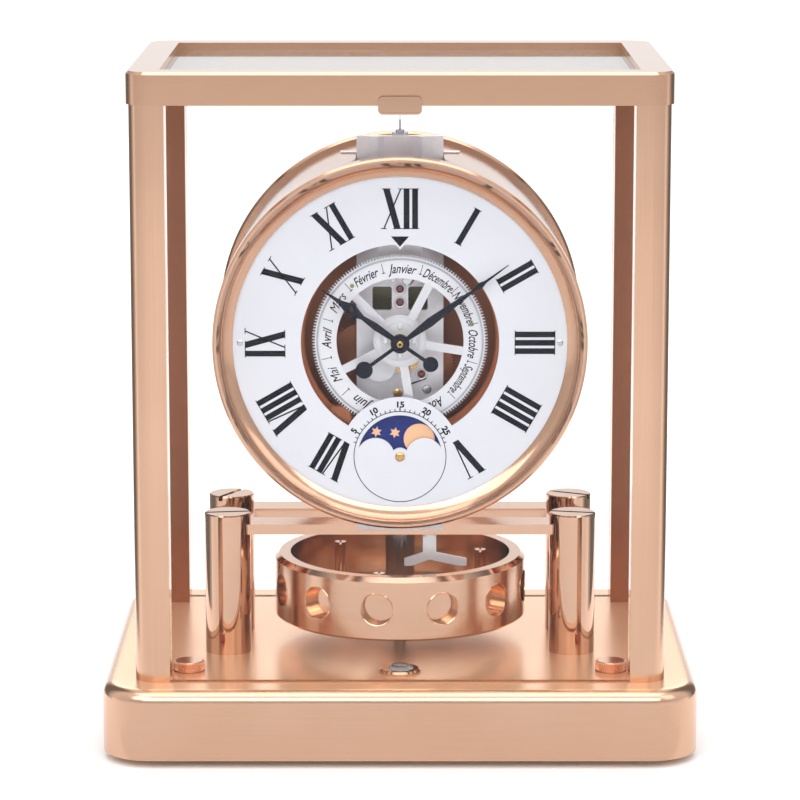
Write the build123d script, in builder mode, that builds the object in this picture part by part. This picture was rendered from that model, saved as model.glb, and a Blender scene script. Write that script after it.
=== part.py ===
from build123d import *
from math import atan2, cos, degrees, hypot, pi, radians, sin
import os

# Moon phase desk clock in millimetres. Front is -Y, up is +Z, and the origin
# is the middle of the footprint on the surface that the clock stands on.

# Base and feet
base_width = 200.0
base_depth = 150.0
base_corner = 17.0
foot_height = 2.5
plinth_height = 23.7
plinth_round = 4.3
plinth_wall = 8.0
plinth_roof = 6.0
under_plate_thick = 3.0
boss_radius = 9.0
foot_radius = 8.0
front_foot_from_side = 28.3
front_foot_from_front = 29.5
rear_foot_from_rear = 23.0
foot_socket_depth = 1.4
screw_radius = 2.5
knob_radius = 5.0
knob_height = 3.4
knob_edge = 0.5
foot_travel = 2.0
travel_room = 0.4

# Fits shared by all pieces
running = 0.05
seat = 0.1
gap = 0.3
overrun = 1.0

# Spirit level
level_from_cabinet = 14.7
level_radius = 7.0
level_rim = 1.2
level_rise = 1.4
level_depth = 3.0
level_dome = 1.1

# Cabinet
post_side = 12.0
post_round = 7.5
cabinet_from_side = 10.9
cabinet_from_front = 12.1
cabinet_headroom = 7.2
lid_overhang = 0.85
lid_height = 10.85
lid_corner = 9.0
lid_edge = 0.9
lid_side_bar = 10.95
lid_end_bar = 10.75
lid_glass_drop = 2.5
lid_ledge = 2.0
glass_thick = 3.0
glass_inset = 0.3
door_gap = 0.4
door_groove = 1.0
door_room = 0.9

# Door tab
tab_width = 14.3
tab_height = 5.8
tab_thick = 1.8
tab_round = 1.6
tab_rise = 3.1
tab_rim = 0.7
tab_sink = 0.4
tab_root_height = 2.0

# Pillars and bridge plate
pillar_radius = 7.9
pillar_from_ring = 7.8
pillar_front_y = -18.4
pillar_rear_y = 13.3
pillar_height = 45.3
cap_height = 3.8
cap_edge = 0.4
cap_slot_width = 1.6
cap_slot_depth = 1.6
cap_shank_radius = 3.0
cap_shank_length = 12.0
cap_slot_angles = (8.0, -12.0, 62.0, -28.0)
bridge_thick = 3.5
bridge_front_y = -22.0
bridge_rear_y = 16.0
bridge_end_over = 5.0
bridge_bar = 12.0
bridge_end_bar = 13.5
bridge_middle = 21.0

# Movement frame
frame_half_x = 14.8
frame_foot_front = -24.0
frame_foot_rear = 5.0
frame_foot_lip = 1.4
frame_foot_rise = 2.2
plate_thick = 2.0
front_plate_y = -22.0
back_plate_y = -6.0
plate_from_drum_top = 4.0
spacer_radius = 2.2
spacer_from_side = 3.9
spacer_from_bottom = 10.0
spacer_from_top = 8.0
window_inner = 2.8
window_outer = 9.4
window_low = 9.1
window_high = 17.2
window_round = 0.8
tube_room = 1.0
front_plate_drop = 4.0
jewel_radius = 1.4
jewel_proud = 0.2
jewel_thick = 1.0
pivot_radius = 0.55

# Suspension at the top of the frame
bracket_height = 8.0
bracket_front = -13.0
bracket_rear = 5.0
bracket_facet_half = 7.6
bracket_hollow = 2.0
bracket_wall = 3.0
bracket_wall_rise = 1.4
wire_radius = 0.15
wire_over = 3.9
wire_tail = 3.0
collar_radius = 2.9
collar_height = 1.6
collar_neck_radius = 1.5
collar_neck_height = 0.9
pin_height = 3.4
pin_radius = 0.45
rod_radius = 0.7
rod_half = 20.3
rod_y = -9.0
rod_drop = 4.4

# Drum that holds the movement and the bellows
drum_radius = 62.0
drum_over_foot = 1.5
drum_wall = 1.8
drum_front = -31.0
drum_rear = 36.0
flange_front = -27.0
flange_thick = 2.0
flange_hole_room = 2.7
flange_edge = 0.5
partition_y = 6.5
partition_thick = 1.6
rim_over = 2.0
rim_depth = 4.0
rim_edge = 0.8
rim_step = 3.0
rim_sink = 1.0
cover_groove_inner = 44.0
cover_groove_outer = 46.0
bellows_outer = 28.0
bellows_inner = 23.0
bellows_folds = 5
bellows_length = 13.0
bellows_cap = 1.2
push_thick = 1.6
push_radius = 26.0
push_boss_radius = 5.0
push_boss_length = 5.0
spring_radius = 14.0
spring_wire = 1.0
spring_turns = 3

# Bezel and dial
bezel_over = 1.2
bezel_width = 6.7
bezel_crest_inset = 1.4
bezel_front = -40.0
bezel_lip = 0.6
bezel_round = 0.7
bezel_step = 1.4
dial_y = -35.0
dial_thick = 1.0
dial_margin = 3.0
dial_hole_room = 3.7
dial_notch_width = 3.6
dial_notch_height = 1.7
moon_drop_room = 9.4
moon_field = 20.5
moon_aperture = 14.3
moon_hump = 6.4
moon_hump_x = 8.3
moon_nose = 3.0

# Moon disc and month ring
moon_disc_radius = 15.0
moon_disc_y = -33.4
moon_disc_thick = 0.7
moon_teeth = 72
moon_arbor = 0.9
moon_hub = 2.2
month_y = -31.8
month_thick = 0.9
month_outer = 29.8
month_root = 28.8
month_inner = 21.5
month_hub = 9.0
month_bore = 2.5
month_spoke = 2.9
month_spokes = 5
month_spoke_start = -9.0
month_teeth = 180
month_screw_ring = 5.0
month_screw_hole = 0.5
month_screws = 4
pinion_angle = 232.0
pinion_teeth = 34
pinion_arbor = 0.8

# Hands
hour_angle = 304.8
minute_angle = 53.6
hour_length = 31.9
hour_bulb_at = 20.0
hour_bulb = 2.3
hour_bulb_hole = 0.8
hour_waist = 0.75
hour_belly = 1.25
hour_tail = 12.6
hour_disc = 2.6
minute_length = 45.3
minute_bulb_at = 33.5
minute_bulb = 1.1
minute_waist = 0.45
minute_belly_at = 12.5
minute_belly = 1.55
minute_tail = 15.0
minute_disc = 2.9
tail_width = 1.2
hand_hub = 3.2
hand_thick = 0.5
hand_tip = 0.12
hour_hand_y = -36.6
minute_hand_y = -37.9

# Going train, with places measured from the dial centre as across and up
wheel_thick = 0.8
pinion_thick = 2.0
arbor_radius = 0.6
addendum_share = 0.75
dedendum_share = 1.1
tooth_tip_share = 0.08
tooth_root_share = 0.25
centre_teeth = 80
escape_pinion_teeth = 20
escape_up = 11.8
centre_wheel_y = -15.2
intermediate_across = 7.3
intermediate_up = -13.0
intermediate_teeth = 64
centre_pinion_teeth = 16
intermediate_y = -18.2
barrel_across = -11.4
barrel_up = -11.4
barrel_teeth = 75
barrel_pinion_teeth = 20
barrel_y = -12.6
barrel_radius = 9.6
barrel_depth = 4.0
escape_teeth = 15
escape_radius = 3.6
escape_root = 2.6
escape_y = -11.2
escape_thick = 0.6
pallet_up = 16.4
pallet_span = 39.0
pallet_clear = 0.12
pallet_arm = 0.5
pallet_stone = 0.5
fork_length = 5.6
fork_half = 1.4
fork_slot = 0.6

# Motion work
cannon_teeth = 12
minute_wheel_teeth = 36
minute_pinion_teeth = 10
hour_teeth = 40
minute_wheel_angle = 279.0
minute_wheel_reach = 7.2
minute_wheel_y = -23.6
hour_wheel_y = -26.0
pipe_radius = 1.45
calendar_across = -6.8
calendar_up = -9.3
calendar_teeth = 40
arbor_front_radius = 0.7

# Balance
ring_outer = 43.8
ring_wall = 5.4
ring_bottom = 35.5
ring_height = 22.0
ring_edge = 1.6
ring_holes = 12
ring_hole_radius = 5.6
ring_hole_depth = 3.5
ring_hole_start = -70.5
web_rise = 2.5
web_root = 0.5
web_thick = 2.5
web_spoke = 9.0
web_rim = 3.0
hub_radius = 5.1
hub_top = 66.0
tube_radius = 2.6
tube_bore = 0.9
tube_over = 1.5
impulse_radius = 0.4
spindle_radius = 2.15
spindle_gap = 0.3
weight_radius = 2.0
weight_top = 56.0
weight_from_ring = 8.9
weight_count = 3
weight_start = -104.0
weight_slot = 0.7

# Locking lever
lever_x = 10.2
lever_width = 4.6
lever_thick = 1.0
lever_y = -19.0
lever_drop = 6.6
lever_foot_z = 56.5
lever_left_x = 1.5
lever_right_x = 23.0
lever_leg = 2.6
lever_pin = 1.5
lever_head = 2.4
lever_head_thick = 0.8

# Levels and places worked out from the sizes above
base_top = foot_height + plinth_height
front_foot_x = base_width / 2 - front_foot_from_side
front_foot_y = front_foot_from_front - base_depth / 2
rear_foot_y = base_depth / 2 - rear_foot_from_rear
cabinet_half_x = base_width / 2 - cabinet_from_side
cabinet_half_y = base_depth / 2 - cabinet_from_front
level_y = level_from_cabinet - cabinet_half_y
pillar_top = base_top + pillar_height
bridge_bottom = pillar_top - bridge_thick
dial_z = pillar_top + frame_foot_rise + drum_over_foot + drum_radius
plate_top = drum_radius - plate_from_drum_top
front_plate_top = plate_top - front_plate_drop
collar_bottom = dial_z + plate_top + bracket_height
pin_top = collar_bottom + collar_height + collar_neck_height + pin_height
wire_end = pin_top + wire_over
cabinet_top = wire_end + cabinet_headroom
cabinet_height = cabinet_top - base_top
lid_top = cabinet_top + lid_height
lid_half_x = cabinet_half_x + lid_overhang
lid_half_y = cabinet_half_y + lid_overhang
post_inner_x = cabinet_half_x - post_side
post_inner_y = cabinet_half_y - post_side
lid_opening_x = lid_half_x - lid_side_bar
lid_opening_y = lid_half_y - lid_end_bar
pillar_x = ring_outer + pillar_radius + pillar_from_ring
bridge_half_x = pillar_x + bridge_end_over
spacer_x = frame_half_x - spacer_from_side
spacer_low = spacer_from_bottom - drum_radius
spacer_high = plate_top - spacer_from_top
rim_radius = drum_radius + rim_over
bezel_outer = drum_radius + bezel_over
bezel_inner = bezel_outer - bezel_width
bezel_crest = bezel_outer - bezel_crest_inset
flange_hole = month_outer + flange_hole_room
dial_hole = month_outer + dial_hole_room
moon_drop = month_outer + moon_drop_room
ring_inner = ring_outer - ring_wall
weight_reach = ring_inner - weight_from_ring
drum_axis = Axis((0, 0, dial_z), (0, 1, 0))
front_inner_y = front_plate_y + plate_thick
impulse_z = dial_z + pallet_up - fork_length - fork_half / 2
tube_top = impulse_z + tube_over


def save(piece, name):
    """Label a finished piece and write its STEP file."""
    piece.part.label = name
    export_step(piece.part, f"parts/{name}.step")


def facing(y, across=0.0, up=0.0, turn=0.0):
    """Plane that faces the front at depth y, centred on the dial axis or beside it."""
    angle = radians(turn)
    return Plane(
        origin=(across, y, dial_z + up),
        x_dir=(cos(angle), 0, sin(angle)),
        z_dir=(0, -1, 0),
    )


def half_section():
    """Plane through the dial axis, with the radius along X and the depth along Y."""
    return Plane.XY.offset(dial_z)


def toothed(teeth, root, tip, phase, tip_share=tooth_tip_share, root_share=tooth_root_share):
    """Points of a toothed outline, four to a tooth, with a tooth at the phase angle."""
    pitch = 2 * pi / teeth
    points = []
    for tooth in range(teeth):
        middle = phase + tooth * pitch
        for radius, share in (
            (root, -root_share),
            (tip, -tip_share),
            (tip, tip_share),
            (root, root_share),
        ):
            angle = middle + share * pitch
            points.append((radius * cos(angle), radius * sin(angle)))
    return points


def gear_points(teeth, pitch_radius, phase):
    """Outline of a wheel or pinion whose teeth reach past and below its pitch circle."""
    module = 2 * pitch_radius / teeth
    root = pitch_radius - dedendum_share * module
    tip = pitch_radius + addendum_share * module
    return toothed(teeth, root, tip, phase)


def meshed(angle, teeth_a, phase_a, teeth_b):
    """Phase of wheel B, in mesh with wheel A, when B lies from A at this angle."""
    return angle + pi - (phase_a - angle) * teeth_a / teeth_b + pi / teeth_b


def shared(distance, teeth_a, teeth_b):
    """Pitch radii of two meshed wheels at this centre distance."""
    return distance * teeth_a / (teeth_a + teeth_b), distance * teeth_b / (teeth_a + teeth_b)


def base_plinth():
    """Hollow plinth with its polished round edge, foot bosses and the door's groove."""
    with BuildPart() as plinth:
        with BuildSketch(Plane.XY.offset(foot_height)):
            RectangleRounded(base_width, base_depth, base_corner)
        extrude(amount=plinth_height)
        fillet(plinth.faces().sort_by(Axis.Z)[-1].edges(), plinth_round)
        with BuildSketch(Plane.XY.offset(foot_height)):
            RectangleRounded(
                base_width - 2 * plinth_wall, base_depth - 2 * plinth_wall, base_corner - plinth_wall
            )
            with Locations(*foot_places()):
                Circle(boss_radius, mode=Mode.SUBTRACT)
        extrude(amount=plinth_height - plinth_roof, mode=Mode.SUBTRACT)
        with BuildSketch(Plane.XY.offset(foot_height)):
            with Locations(*foot_places()[:2]):
                Circle(screw_radius + running)
        extrude(amount=plinth_height, mode=Mode.SUBTRACT)
        with BuildSketch(Plane.XY.offset(base_top)):
            with Locations(*foot_places()[:2]):
                Circle(knob_radius + travel_room)
        extrude(amount=-(foot_travel + travel_room), mode=Mode.SUBTRACT)
        with BuildSketch(Plane.XY.offset(base_top)):
            with Locations((0, level_y)):
                Circle(level_radius - level_rim)
        extrude(amount=-level_depth, mode=Mode.SUBTRACT)
        with BuildSketch(Plane.XY.offset(base_top)):
            with Locations((0, -cabinet_half_y + glass_inset + glass_thick / 2)):
                Rectangle(2 * post_inner_x, glass_thick + 2 * door_room)
        extrude(amount=-door_groove, mode=Mode.SUBTRACT)
    save(plinth, "base_plinth")


def foot_places():
    """Places of the two levelling feet and the fixed rear foot."""
    return [(-front_foot_x, front_foot_y), (front_foot_x, front_foot_y), (0, rear_foot_y)]


def base_bottom_plate():
    """Plate that closes the plinth from below, open round the foot bosses."""
    slack = plinth_wall + seat
    with BuildPart() as plate:
        with BuildSketch(Plane.XY.offset(foot_height)):
            RectangleRounded(base_width - 2 * slack, base_depth - 2 * slack, base_corner - slack)
            with Locations(*foot_places()):
                Circle(boss_radius + seat, mode=Mode.SUBTRACT)
        extrude(amount=under_plate_thick)
    save(plate, "base_bottom_plate")


def rear_foot():
    """Fixed foot under the back of the base."""
    with BuildPart() as foot:
        with BuildSketch(Plane.XY):
            with Locations(foot_places()[2]):
                Circle(foot_radius)
        extrude(amount=foot_height)
        chamfer(foot.faces().sort_by(Axis.Z)[0].edges(), knob_edge)
    save(foot, "rear_foot")


def foot_pad(place, name):
    """Foot pad with the socket that the levelling screw turns in."""
    with BuildPart() as pad:
        with BuildSketch(Plane.XY):
            with Locations(place):
                Circle(foot_radius)
        extrude(amount=foot_height - seat)
        chamfer(pad.faces().sort_by(Axis.Z)[0].edges(), knob_edge)
        with BuildSketch(Plane.XY.offset(foot_height - seat)):
            with Locations(place):
                Circle(screw_radius + running)
        extrude(amount=-foot_socket_depth, mode=Mode.SUBTRACT)
    save(pad, name)


def levelling_screw(place, name):
    """Levelling screw in one piece with the round knob above the plinth."""
    bottom = foot_height - seat - foot_socket_depth + seat
    with BuildPart() as screw:
        with BuildSketch(Plane.XY.offset(bottom)):
            with Locations(place):
                Circle(screw_radius)
        extrude(amount=base_top - bottom)
        with BuildSketch(Plane.XY.offset(base_top)):
            with Locations(place):
                Circle(knob_radius)
        extrude(amount=knob_height)
        chamfer(screw.faces().sort_by(Axis.Z)[-1].edges(), knob_edge)
    save(screw, name)


def spirit_level():
    """Round spirit level: the metal cup in the plinth and its domed glass."""
    inner = level_radius - 2 * level_rim
    with BuildPart() as cup:
        with BuildSketch(Plane.XY.offset(base_top)):
            with Locations((0, level_y)):
                Circle(level_radius)
        extrude(amount=level_rise)
        chamfer(cup.faces().sort_by(Axis.Z)[-1].edges(), level_rise / 2)
        with BuildSketch(Plane.XY.offset(base_top)):
            with Locations((0, level_y)):
                Circle(level_radius - level_rim)
        extrude(amount=-level_depth)
        with BuildSketch(Plane.XY.offset(base_top + level_rise)):
            with Locations((0, level_y)):
                Circle(inner)
        extrude(amount=-level_rise - level_depth / 2, mode=Mode.SUBTRACT)
    save(cup, "spirit_level_cup")
    floor_z = base_top - level_depth / 2
    rim_z = base_top + level_rise
    crown_z = rim_z + level_dome
    sphere = (inner**2 + level_dome**2) / (2 * level_dome)
    shoulder_z = crown_z - sphere + (sphere**2 - (inner / 2) ** 2) ** 0.5
    with BuildPart() as glass:
        with BuildSketch(Plane.XZ.offset(-level_y)):
            with BuildLine():
                Line((0, crown_z), (0, floor_z))
                Line((0, floor_z), (inner, floor_z))
                Line((inner, floor_z), (inner, rim_z))
                ThreePointArc((inner, rim_z), (inner / 2, shoulder_z), (0, crown_z))
            make_face()
        revolve(axis=Axis((0, level_y, 0), (0, 0, 1)))
    save(glass, "spirit_level_glass")


def corner_post(side, end, name):
    """Square cabinet post with a large round on its outer corner."""
    middle_x = side * (cabinet_half_x - post_side / 2)
    middle_y = end * (cabinet_half_y - post_side / 2)
    with BuildPart() as post:
        with BuildSketch(Plane.XY.offset(base_top)) as section:
            with Locations((middle_x, middle_y)):
                Rectangle(post_side, post_side)
            outer = section.vertices().sort_by_distance((side * base_width, end * base_depth, base_top))[0]
            fillet(outer, post_round)
        extrude(amount=cabinet_height)
    save(post, name)


def lid_frame():
    """Frame of the lid, with a ledge for its glass and a small bevel on the top edge."""
    with BuildPart() as lid:
        with BuildSketch(Plane.XY.offset(cabinet_top)):
            RectangleRounded(2 * lid_half_x, 2 * lid_half_y, lid_corner)
        extrude(amount=lid_height)
        chamfer(lid.faces().sort_by(Axis.Z)[-1].edges(), lid_edge)
        with BuildSketch(Plane.XY.offset(lid_top)):
            Rectangle(2 * lid_opening_x, 2 * lid_opening_y)
        extrude(amount=-(lid_glass_drop + glass_thick), mode=Mode.SUBTRACT)
        with BuildSketch(Plane.XY.offset(lid_top)):
            Rectangle(2 * (lid_opening_x - lid_ledge), 2 * (lid_opening_y - lid_ledge))
        extrude(amount=-lid_height, mode=Mode.SUBTRACT)
    save(lid, "lid_frame")


def pane(width, depth, height, centre, name):
    """Flat sheet of glass standing or lying on its place."""
    with BuildPart() as sheet:
        with BuildSketch(Plane.XY.offset(centre[2] - height / 2)):
            with Locations((centre[0], centre[1])):
                Rectangle(width, depth)
        extrude(amount=height)
    save(sheet, name)


def cabinet_glass():
    """The five fixed and moving sheets of glass."""
    middle_z = base_top + cabinet_height / 2
    side_x = cabinet_half_x - glass_inset - glass_thick / 2
    end_y = cabinet_half_y - glass_inset - glass_thick / 2
    lid_glass_z = lid_top - lid_glass_drop - glass_thick / 2
    pane(glass_thick, 2 * post_inner_y, cabinet_height, (-side_x, 0, middle_z), "left_glass")
    pane(glass_thick, 2 * post_inner_y, cabinet_height, (side_x, 0, middle_z), "right_glass")
    pane(2 * post_inner_x, glass_thick, cabinet_height, (0, end_y, middle_z), "rear_glass")
    pane(
        2 * (lid_opening_x - seat),
        2 * (lid_opening_y - seat),
        glass_thick,
        (0, 0, lid_glass_z),
        "lid_glass",
    )
    door_height = cabinet_height + door_groove - seat - gap
    door_z = base_top - door_groove + seat + door_height / 2
    pane(2 * (post_inner_x - door_gap), glass_thick, door_height, (0, -end_y, door_z), "front_glass")


def door_tab():
    """Bare tab with a raised rim that pulls the front glass open."""
    glass_front = -cabinet_half_y + glass_inset
    tab_back = -lid_half_y - gap
    with BuildPart() as tab:
        with BuildSketch(Plane.XZ.offset(-tab_back)):
            with Locations((0, cabinet_top + tab_rise - tab_height / 2)):
                RectangleRounded(tab_width, tab_height, tab_round)
        extrude(amount=tab_thick)
        with BuildSketch(Plane.XZ.offset(-tab_back + tab_thick)):
            with Locations((0, cabinet_top + tab_rise - tab_height / 2)):
                RectangleRounded(
                    tab_width - 2 * tab_rim, tab_height - 2 * tab_rim, tab_round - tab_rim
                )
        extrude(amount=-tab_sink, mode=Mode.SUBTRACT)
        with BuildSketch(Plane.XZ.offset(-glass_front)):
            with Locations((0, cabinet_top - gap - seat - tab_root_height / 2)):
                Rectangle(tab_width - 2 * tab_round, tab_root_height)
        extrude(amount=glass_front - tab_back)
    save(tab, "door_tab")


def pillar_places():
    """Places of the four pillars: front left, front right, rear left, rear right."""
    return [
        (side * pillar_x, depth)
        for depth in (pillar_front_y, pillar_rear_y)
        for side in (-1, 1)
    ]


def bridge_pillar(place, name):
    """Round pillar, notched at the top to take the bridge plate."""
    with BuildPart() as pillar:
        with BuildSketch(Plane.XY.offset(base_top)):
            with Locations(place):
                Circle(pillar_radius)
        extrude(amount=pillar_height)
        with BuildSketch(Plane.XY.offset(pillar_top)):
            bridge_outline(seat)
        extrude(amount=-bridge_thick, mode=Mode.SUBTRACT)
        with BuildSketch(Plane.XY.offset(pillar_top)):
            with Locations(place):
                Circle(cap_shank_radius + seat)
        extrude(amount=-cap_shank_length, mode=Mode.SUBTRACT)
    save(pillar, name)


def bridge_outline(slack):
    """Outer rectangle of the bridge plate, grown by the slack, drawn in the open sketch."""
    middle_y = (bridge_front_y + bridge_rear_y) / 2
    with Locations((0, middle_y)):
        Rectangle(2 * (bridge_half_x + slack), bridge_rear_y - bridge_front_y + 2 * slack)


def pillar_cap_screws():
    """Slotted round caps whose shanks hold the bridge plate down on the pillars."""
    with BuildPart() as caps:
        with BuildSketch(Plane.XY.offset(pillar_top)):
            with Locations(*pillar_places()):
                Circle(pillar_radius)
        extrude(amount=cap_height)
        chamfer(caps.faces().group_by(Axis.Z)[-1].edges(), cap_edge)
        with BuildSketch(Plane.XY.offset(pillar_top)):
            with Locations(*pillar_places()):
                Circle(cap_shank_radius)
        extrude(amount=-cap_shank_length + seat)
        for place, angle in zip(pillar_places(), cap_slot_angles):
            with BuildSketch(Plane.XY.offset(pillar_top + cap_height)):
                with Locations(Location(place, angle)):
                    Rectangle(2 * pillar_radius + overrun, cap_slot_width)
            extrude(amount=-cap_slot_depth, mode=Mode.SUBTRACT)
    save(caps, "pillar_cap_screws")


def bridge_plate():
    """Plate between the pillars: two long bars, two ends and a middle that carries the frame."""
    with BuildPart() as bridge:
        with BuildSketch(Plane.XY.offset(bridge_bottom)):
            bridge_outline(0)
            window_low = bridge_front_y + bridge_bar
            window_high = bridge_rear_y - bridge_bar
            window_left = bridge_middle
            window_right = bridge_half_x - bridge_end_bar
            for side in (-1, 1):
                middle_x = side * (window_left + window_right) / 2
                with Locations((middle_x, (window_low + window_high) / 2)):
                    Rectangle(window_right - window_left, window_high - window_low, mode=Mode.SUBTRACT)
            with Locations((0, 0)):
                Circle(tube_radius + tube_room, mode=Mode.SUBTRACT)
            with Locations(*pillar_places()):
                Circle(cap_shank_radius + seat, mode=Mode.SUBTRACT)
            with Locations((lever_x, lever_y - lever_thick / 2)):
                Circle(lever_pin + running, mode=Mode.SUBTRACT)
        extrude(amount=bridge_thick)
    save(bridge, "bridge_plate")


def frame_foot():
    """Foot of the movement frame, hooked over the front edge of the bridge plate."""
    depth = frame_foot_rear - frame_foot_front
    with BuildPart() as foot:
        with BuildSketch(Plane.XY.offset(pillar_top)):
            with Locations((0, frame_foot_front + depth / 2)):
                Rectangle(2 * frame_half_x, depth)
            with Locations((0, 0)):
                Circle(tube_radius + tube_room, mode=Mode.SUBTRACT)
        extrude(amount=frame_foot_rise)
        lip = bridge_front_y - frame_foot_front
        with BuildSketch(Plane.XY.offset(pillar_top)):
            with Locations((0, frame_foot_front + lip / 2)):
                Rectangle(2 * frame_half_x, lip)
        extrude(amount=-frame_foot_lip)
    save(foot, "movement_foot")


def jewel_places():
    """Across and up of the jewelled pivots: pallets, escape wheel and intermediate wheel."""
    return [(0, pallet_up), (0, escape_up), (intermediate_across, intermediate_up)]


def plain_pivots():
    """Across and up of the pivots that turn in plain holes: centre and barrel."""
    return [(0, 0), (barrel_across, barrel_up)]


def spacer_places():
    """Across and up of the four spacers between the movement plates."""
    return [(side * spacer_x, up) for up in (spacer_low, spacer_high) for side in (-1, 1)]


def stud_places():
    """Across and up of the studs in front of the front plate: minute and calendar wheels."""
    angle = radians(minute_wheel_angle)
    minute_stud = (minute_wheel_reach * cos(angle), minute_wheel_reach * sin(angle))
    return [minute_stud, (calendar_across, calendar_up)]


def frame_plate(y, top, front, name):
    """Upright movement plate with its pivot holes; the front one has windows and stud holes."""
    bottom = pillar_top + frame_foot_rise - dial_z
    with BuildPart() as plate:
        with BuildSketch(facing(y + plate_thick)):
            with Locations((0, (bottom + top) / 2)):
                Rectangle(2 * frame_half_x, top - bottom)
            if front:
                with Locations(*stud_places()):
                    Circle(pivot_radius + running, mode=Mode.SUBTRACT)
                for side in (-1, 1):
                    middle = side * (window_inner + window_outer) / 2
                    with Locations((middle, (window_low + window_high) / 2)):
                        RectangleRounded(
                            window_outer - window_inner,
                            window_high - window_low,
                            window_round,
                            mode=Mode.SUBTRACT,
                        )
            with Locations(*jewel_places()):
                Circle(jewel_radius + running, mode=Mode.SUBTRACT)
            with Locations(*plain_pivots()):
                Circle(arbor_front_radius + running, mode=Mode.SUBTRACT)
        extrude(amount=plate_thick)
    save(plate, name)


def jewels():
    """Ring jewels set in both plates, as one group of separate rings."""
    with BuildPart() as rings:
        for y in (front_plate_y - jewel_proud + jewel_thick, back_plate_y + plate_thick + jewel_proud):
            with BuildSketch(facing(y)):
                with Locations(*jewel_places()):
                    Circle(jewel_radius)
                    Circle(pivot_radius + running, mode=Mode.SUBTRACT)
            extrude(amount=jewel_thick)
    save(rings, "jewels")


def plate_spacers():
    """Round spacers that hold the movement plates apart."""
    with BuildPart() as spacers:
        with BuildSketch(facing(back_plate_y)):
            with Locations(*spacer_places()):
                Circle(spacer_radius)
        extrude(amount=back_plate_y - front_inner_y)
    save(spacers, "plate_spacers")


def suspension_bracket():
    """Frosted bracket on the frame, faceted in front, that carries the suspension wire."""
    depth = bracket_rear - bracket_front
    bottom = dial_z + plate_top
    with BuildPart() as bracket:
        with BuildSketch(Plane.XY.offset(bottom)):
            with BuildLine():
                Polyline(
                    (-frame_half_x, bracket_rear),
                    (-frame_half_x, bracket_front + bracket_hollow),
                    (-bracket_facet_half, bracket_front),
                    (-bracket_facet_half + bracket_hollow, bracket_front + bracket_hollow),
                    (bracket_facet_half - bracket_hollow, bracket_front + bracket_hollow),
                    (bracket_facet_half, bracket_front),
                    (frame_half_x, bracket_front + bracket_hollow),
                    (frame_half_x, bracket_rear),
                    close=True,
                )
            make_face()
            Circle(collar_neck_radius, mode=Mode.SUBTRACT)
        extrude(amount=bracket_height + bracket_wall_rise)
        with BuildSketch(Plane.XY.offset(bottom + bracket_height)):
            with Locations((0, (bracket_front + bracket_wall + bracket_rear) / 2)):
                Rectangle(2 * frame_half_x, depth - bracket_wall)
        extrude(amount=bracket_wall_rise, mode=Mode.SUBTRACT)
        with BuildSketch(Plane.YZ.offset(-frame_half_x)):
            with Locations((rod_y, bottom + bracket_height - rod_drop)):
                Circle(rod_radius + running)
        extrude(amount=2 * frame_half_x, mode=Mode.SUBTRACT)
    save(bracket, "suspension_bracket")
    with BuildPart() as rod:
        with BuildSketch(Plane.YZ.offset(-rod_half)):
            with Locations((rod_y, bottom + bracket_height - rod_drop)):
                Circle(rod_radius)
        extrude(amount=2 * rod_half)
    save(rod, "cross_rod")


def suspension():
    """Collar on the bracket with its upright pin, and the wire that the balance hangs on."""
    top = collar_bottom
    with BuildPart() as collar:
        with BuildSketch(Plane.XY.offset(top)):
            Circle(collar_radius)
        extrude(amount=collar_height)
        with BuildSketch(Plane.XY.offset(top + collar_height)):
            Circle(collar_neck_radius)
        extrude(amount=collar_neck_height)
        with BuildSketch(Plane.XY.offset(top + collar_height + collar_neck_height)):
            Circle(pin_radius)
        extrude(amount=pin_height)
        with BuildSketch(Plane.XY.offset(top)):
            Circle(wire_radius)
        extrude(amount=collar_height + collar_neck_height + pin_height, mode=Mode.SUBTRACT)
    save(collar, "suspension_collar")
    with BuildPart() as wire:
        with BuildSketch(Plane.XY.offset(tube_top - wire_tail)):
            Circle(wire_radius)
        extrude(amount=wire_end - tube_top + wire_tail)
    save(wire, "suspension_wire")


def drum_housing():
    """Polished drum with the flange behind the dial and the wall of the bellows chamber."""
    inner = drum_radius - drum_wall
    flange_back = flange_front + flange_thick
    wall_back = partition_y + partition_thick
    with BuildPart() as drum:
        with BuildSketch(half_section()):
            with BuildLine():
                Polyline(
                    (drum_radius, drum_front),
                    (drum_radius, drum_rear),
                    (inner, drum_rear),
                    (inner, wall_back),
                    (0, wall_back),
                    (0, partition_y),
                    (inner, partition_y),
                    (inner, flange_back),
                    (flange_hole, flange_back),
                    (flange_hole, flange_front + flange_edge),
                    (flange_hole + flange_edge, flange_front),
                    (inner, flange_front),
                    (inner, drum_front),
                    close=True,
                )
            make_face()
        revolve(axis=drum_axis)
        slot_front = front_plate_y - gap
        slot_rear = frame_foot_rear + gap
        with BuildSketch(Plane.XY.offset(dial_z - drum_radius - overrun)):
            with Locations((0, (slot_front + slot_rear) / 2)):
                Rectangle(2 * (frame_half_x + gap), slot_rear - slot_front)
        extrude(amount=2 * (drum_radius + overrun), mode=Mode.SUBTRACT)
        with BuildSketch(facing(flange_back)):
            with Locations((0, -moon_drop)):
                Circle(moon_arbor + running)
            with Locations(pinion_place()):
                Circle(pinion_arbor + running)
        extrude(amount=flange_thick, mode=Mode.SUBTRACT)
    save(drum, "drum_housing")


def drum_spacers():
    """Spacers that carry the drum on the back plate."""
    with BuildPart() as spacers:
        with BuildSketch(facing(partition_y)):
            with Locations(*spacer_places()):
                Circle(spacer_radius)
        extrude(amount=partition_y - back_plate_y - plate_thick)
    save(spacers, "drum_spacers")


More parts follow.
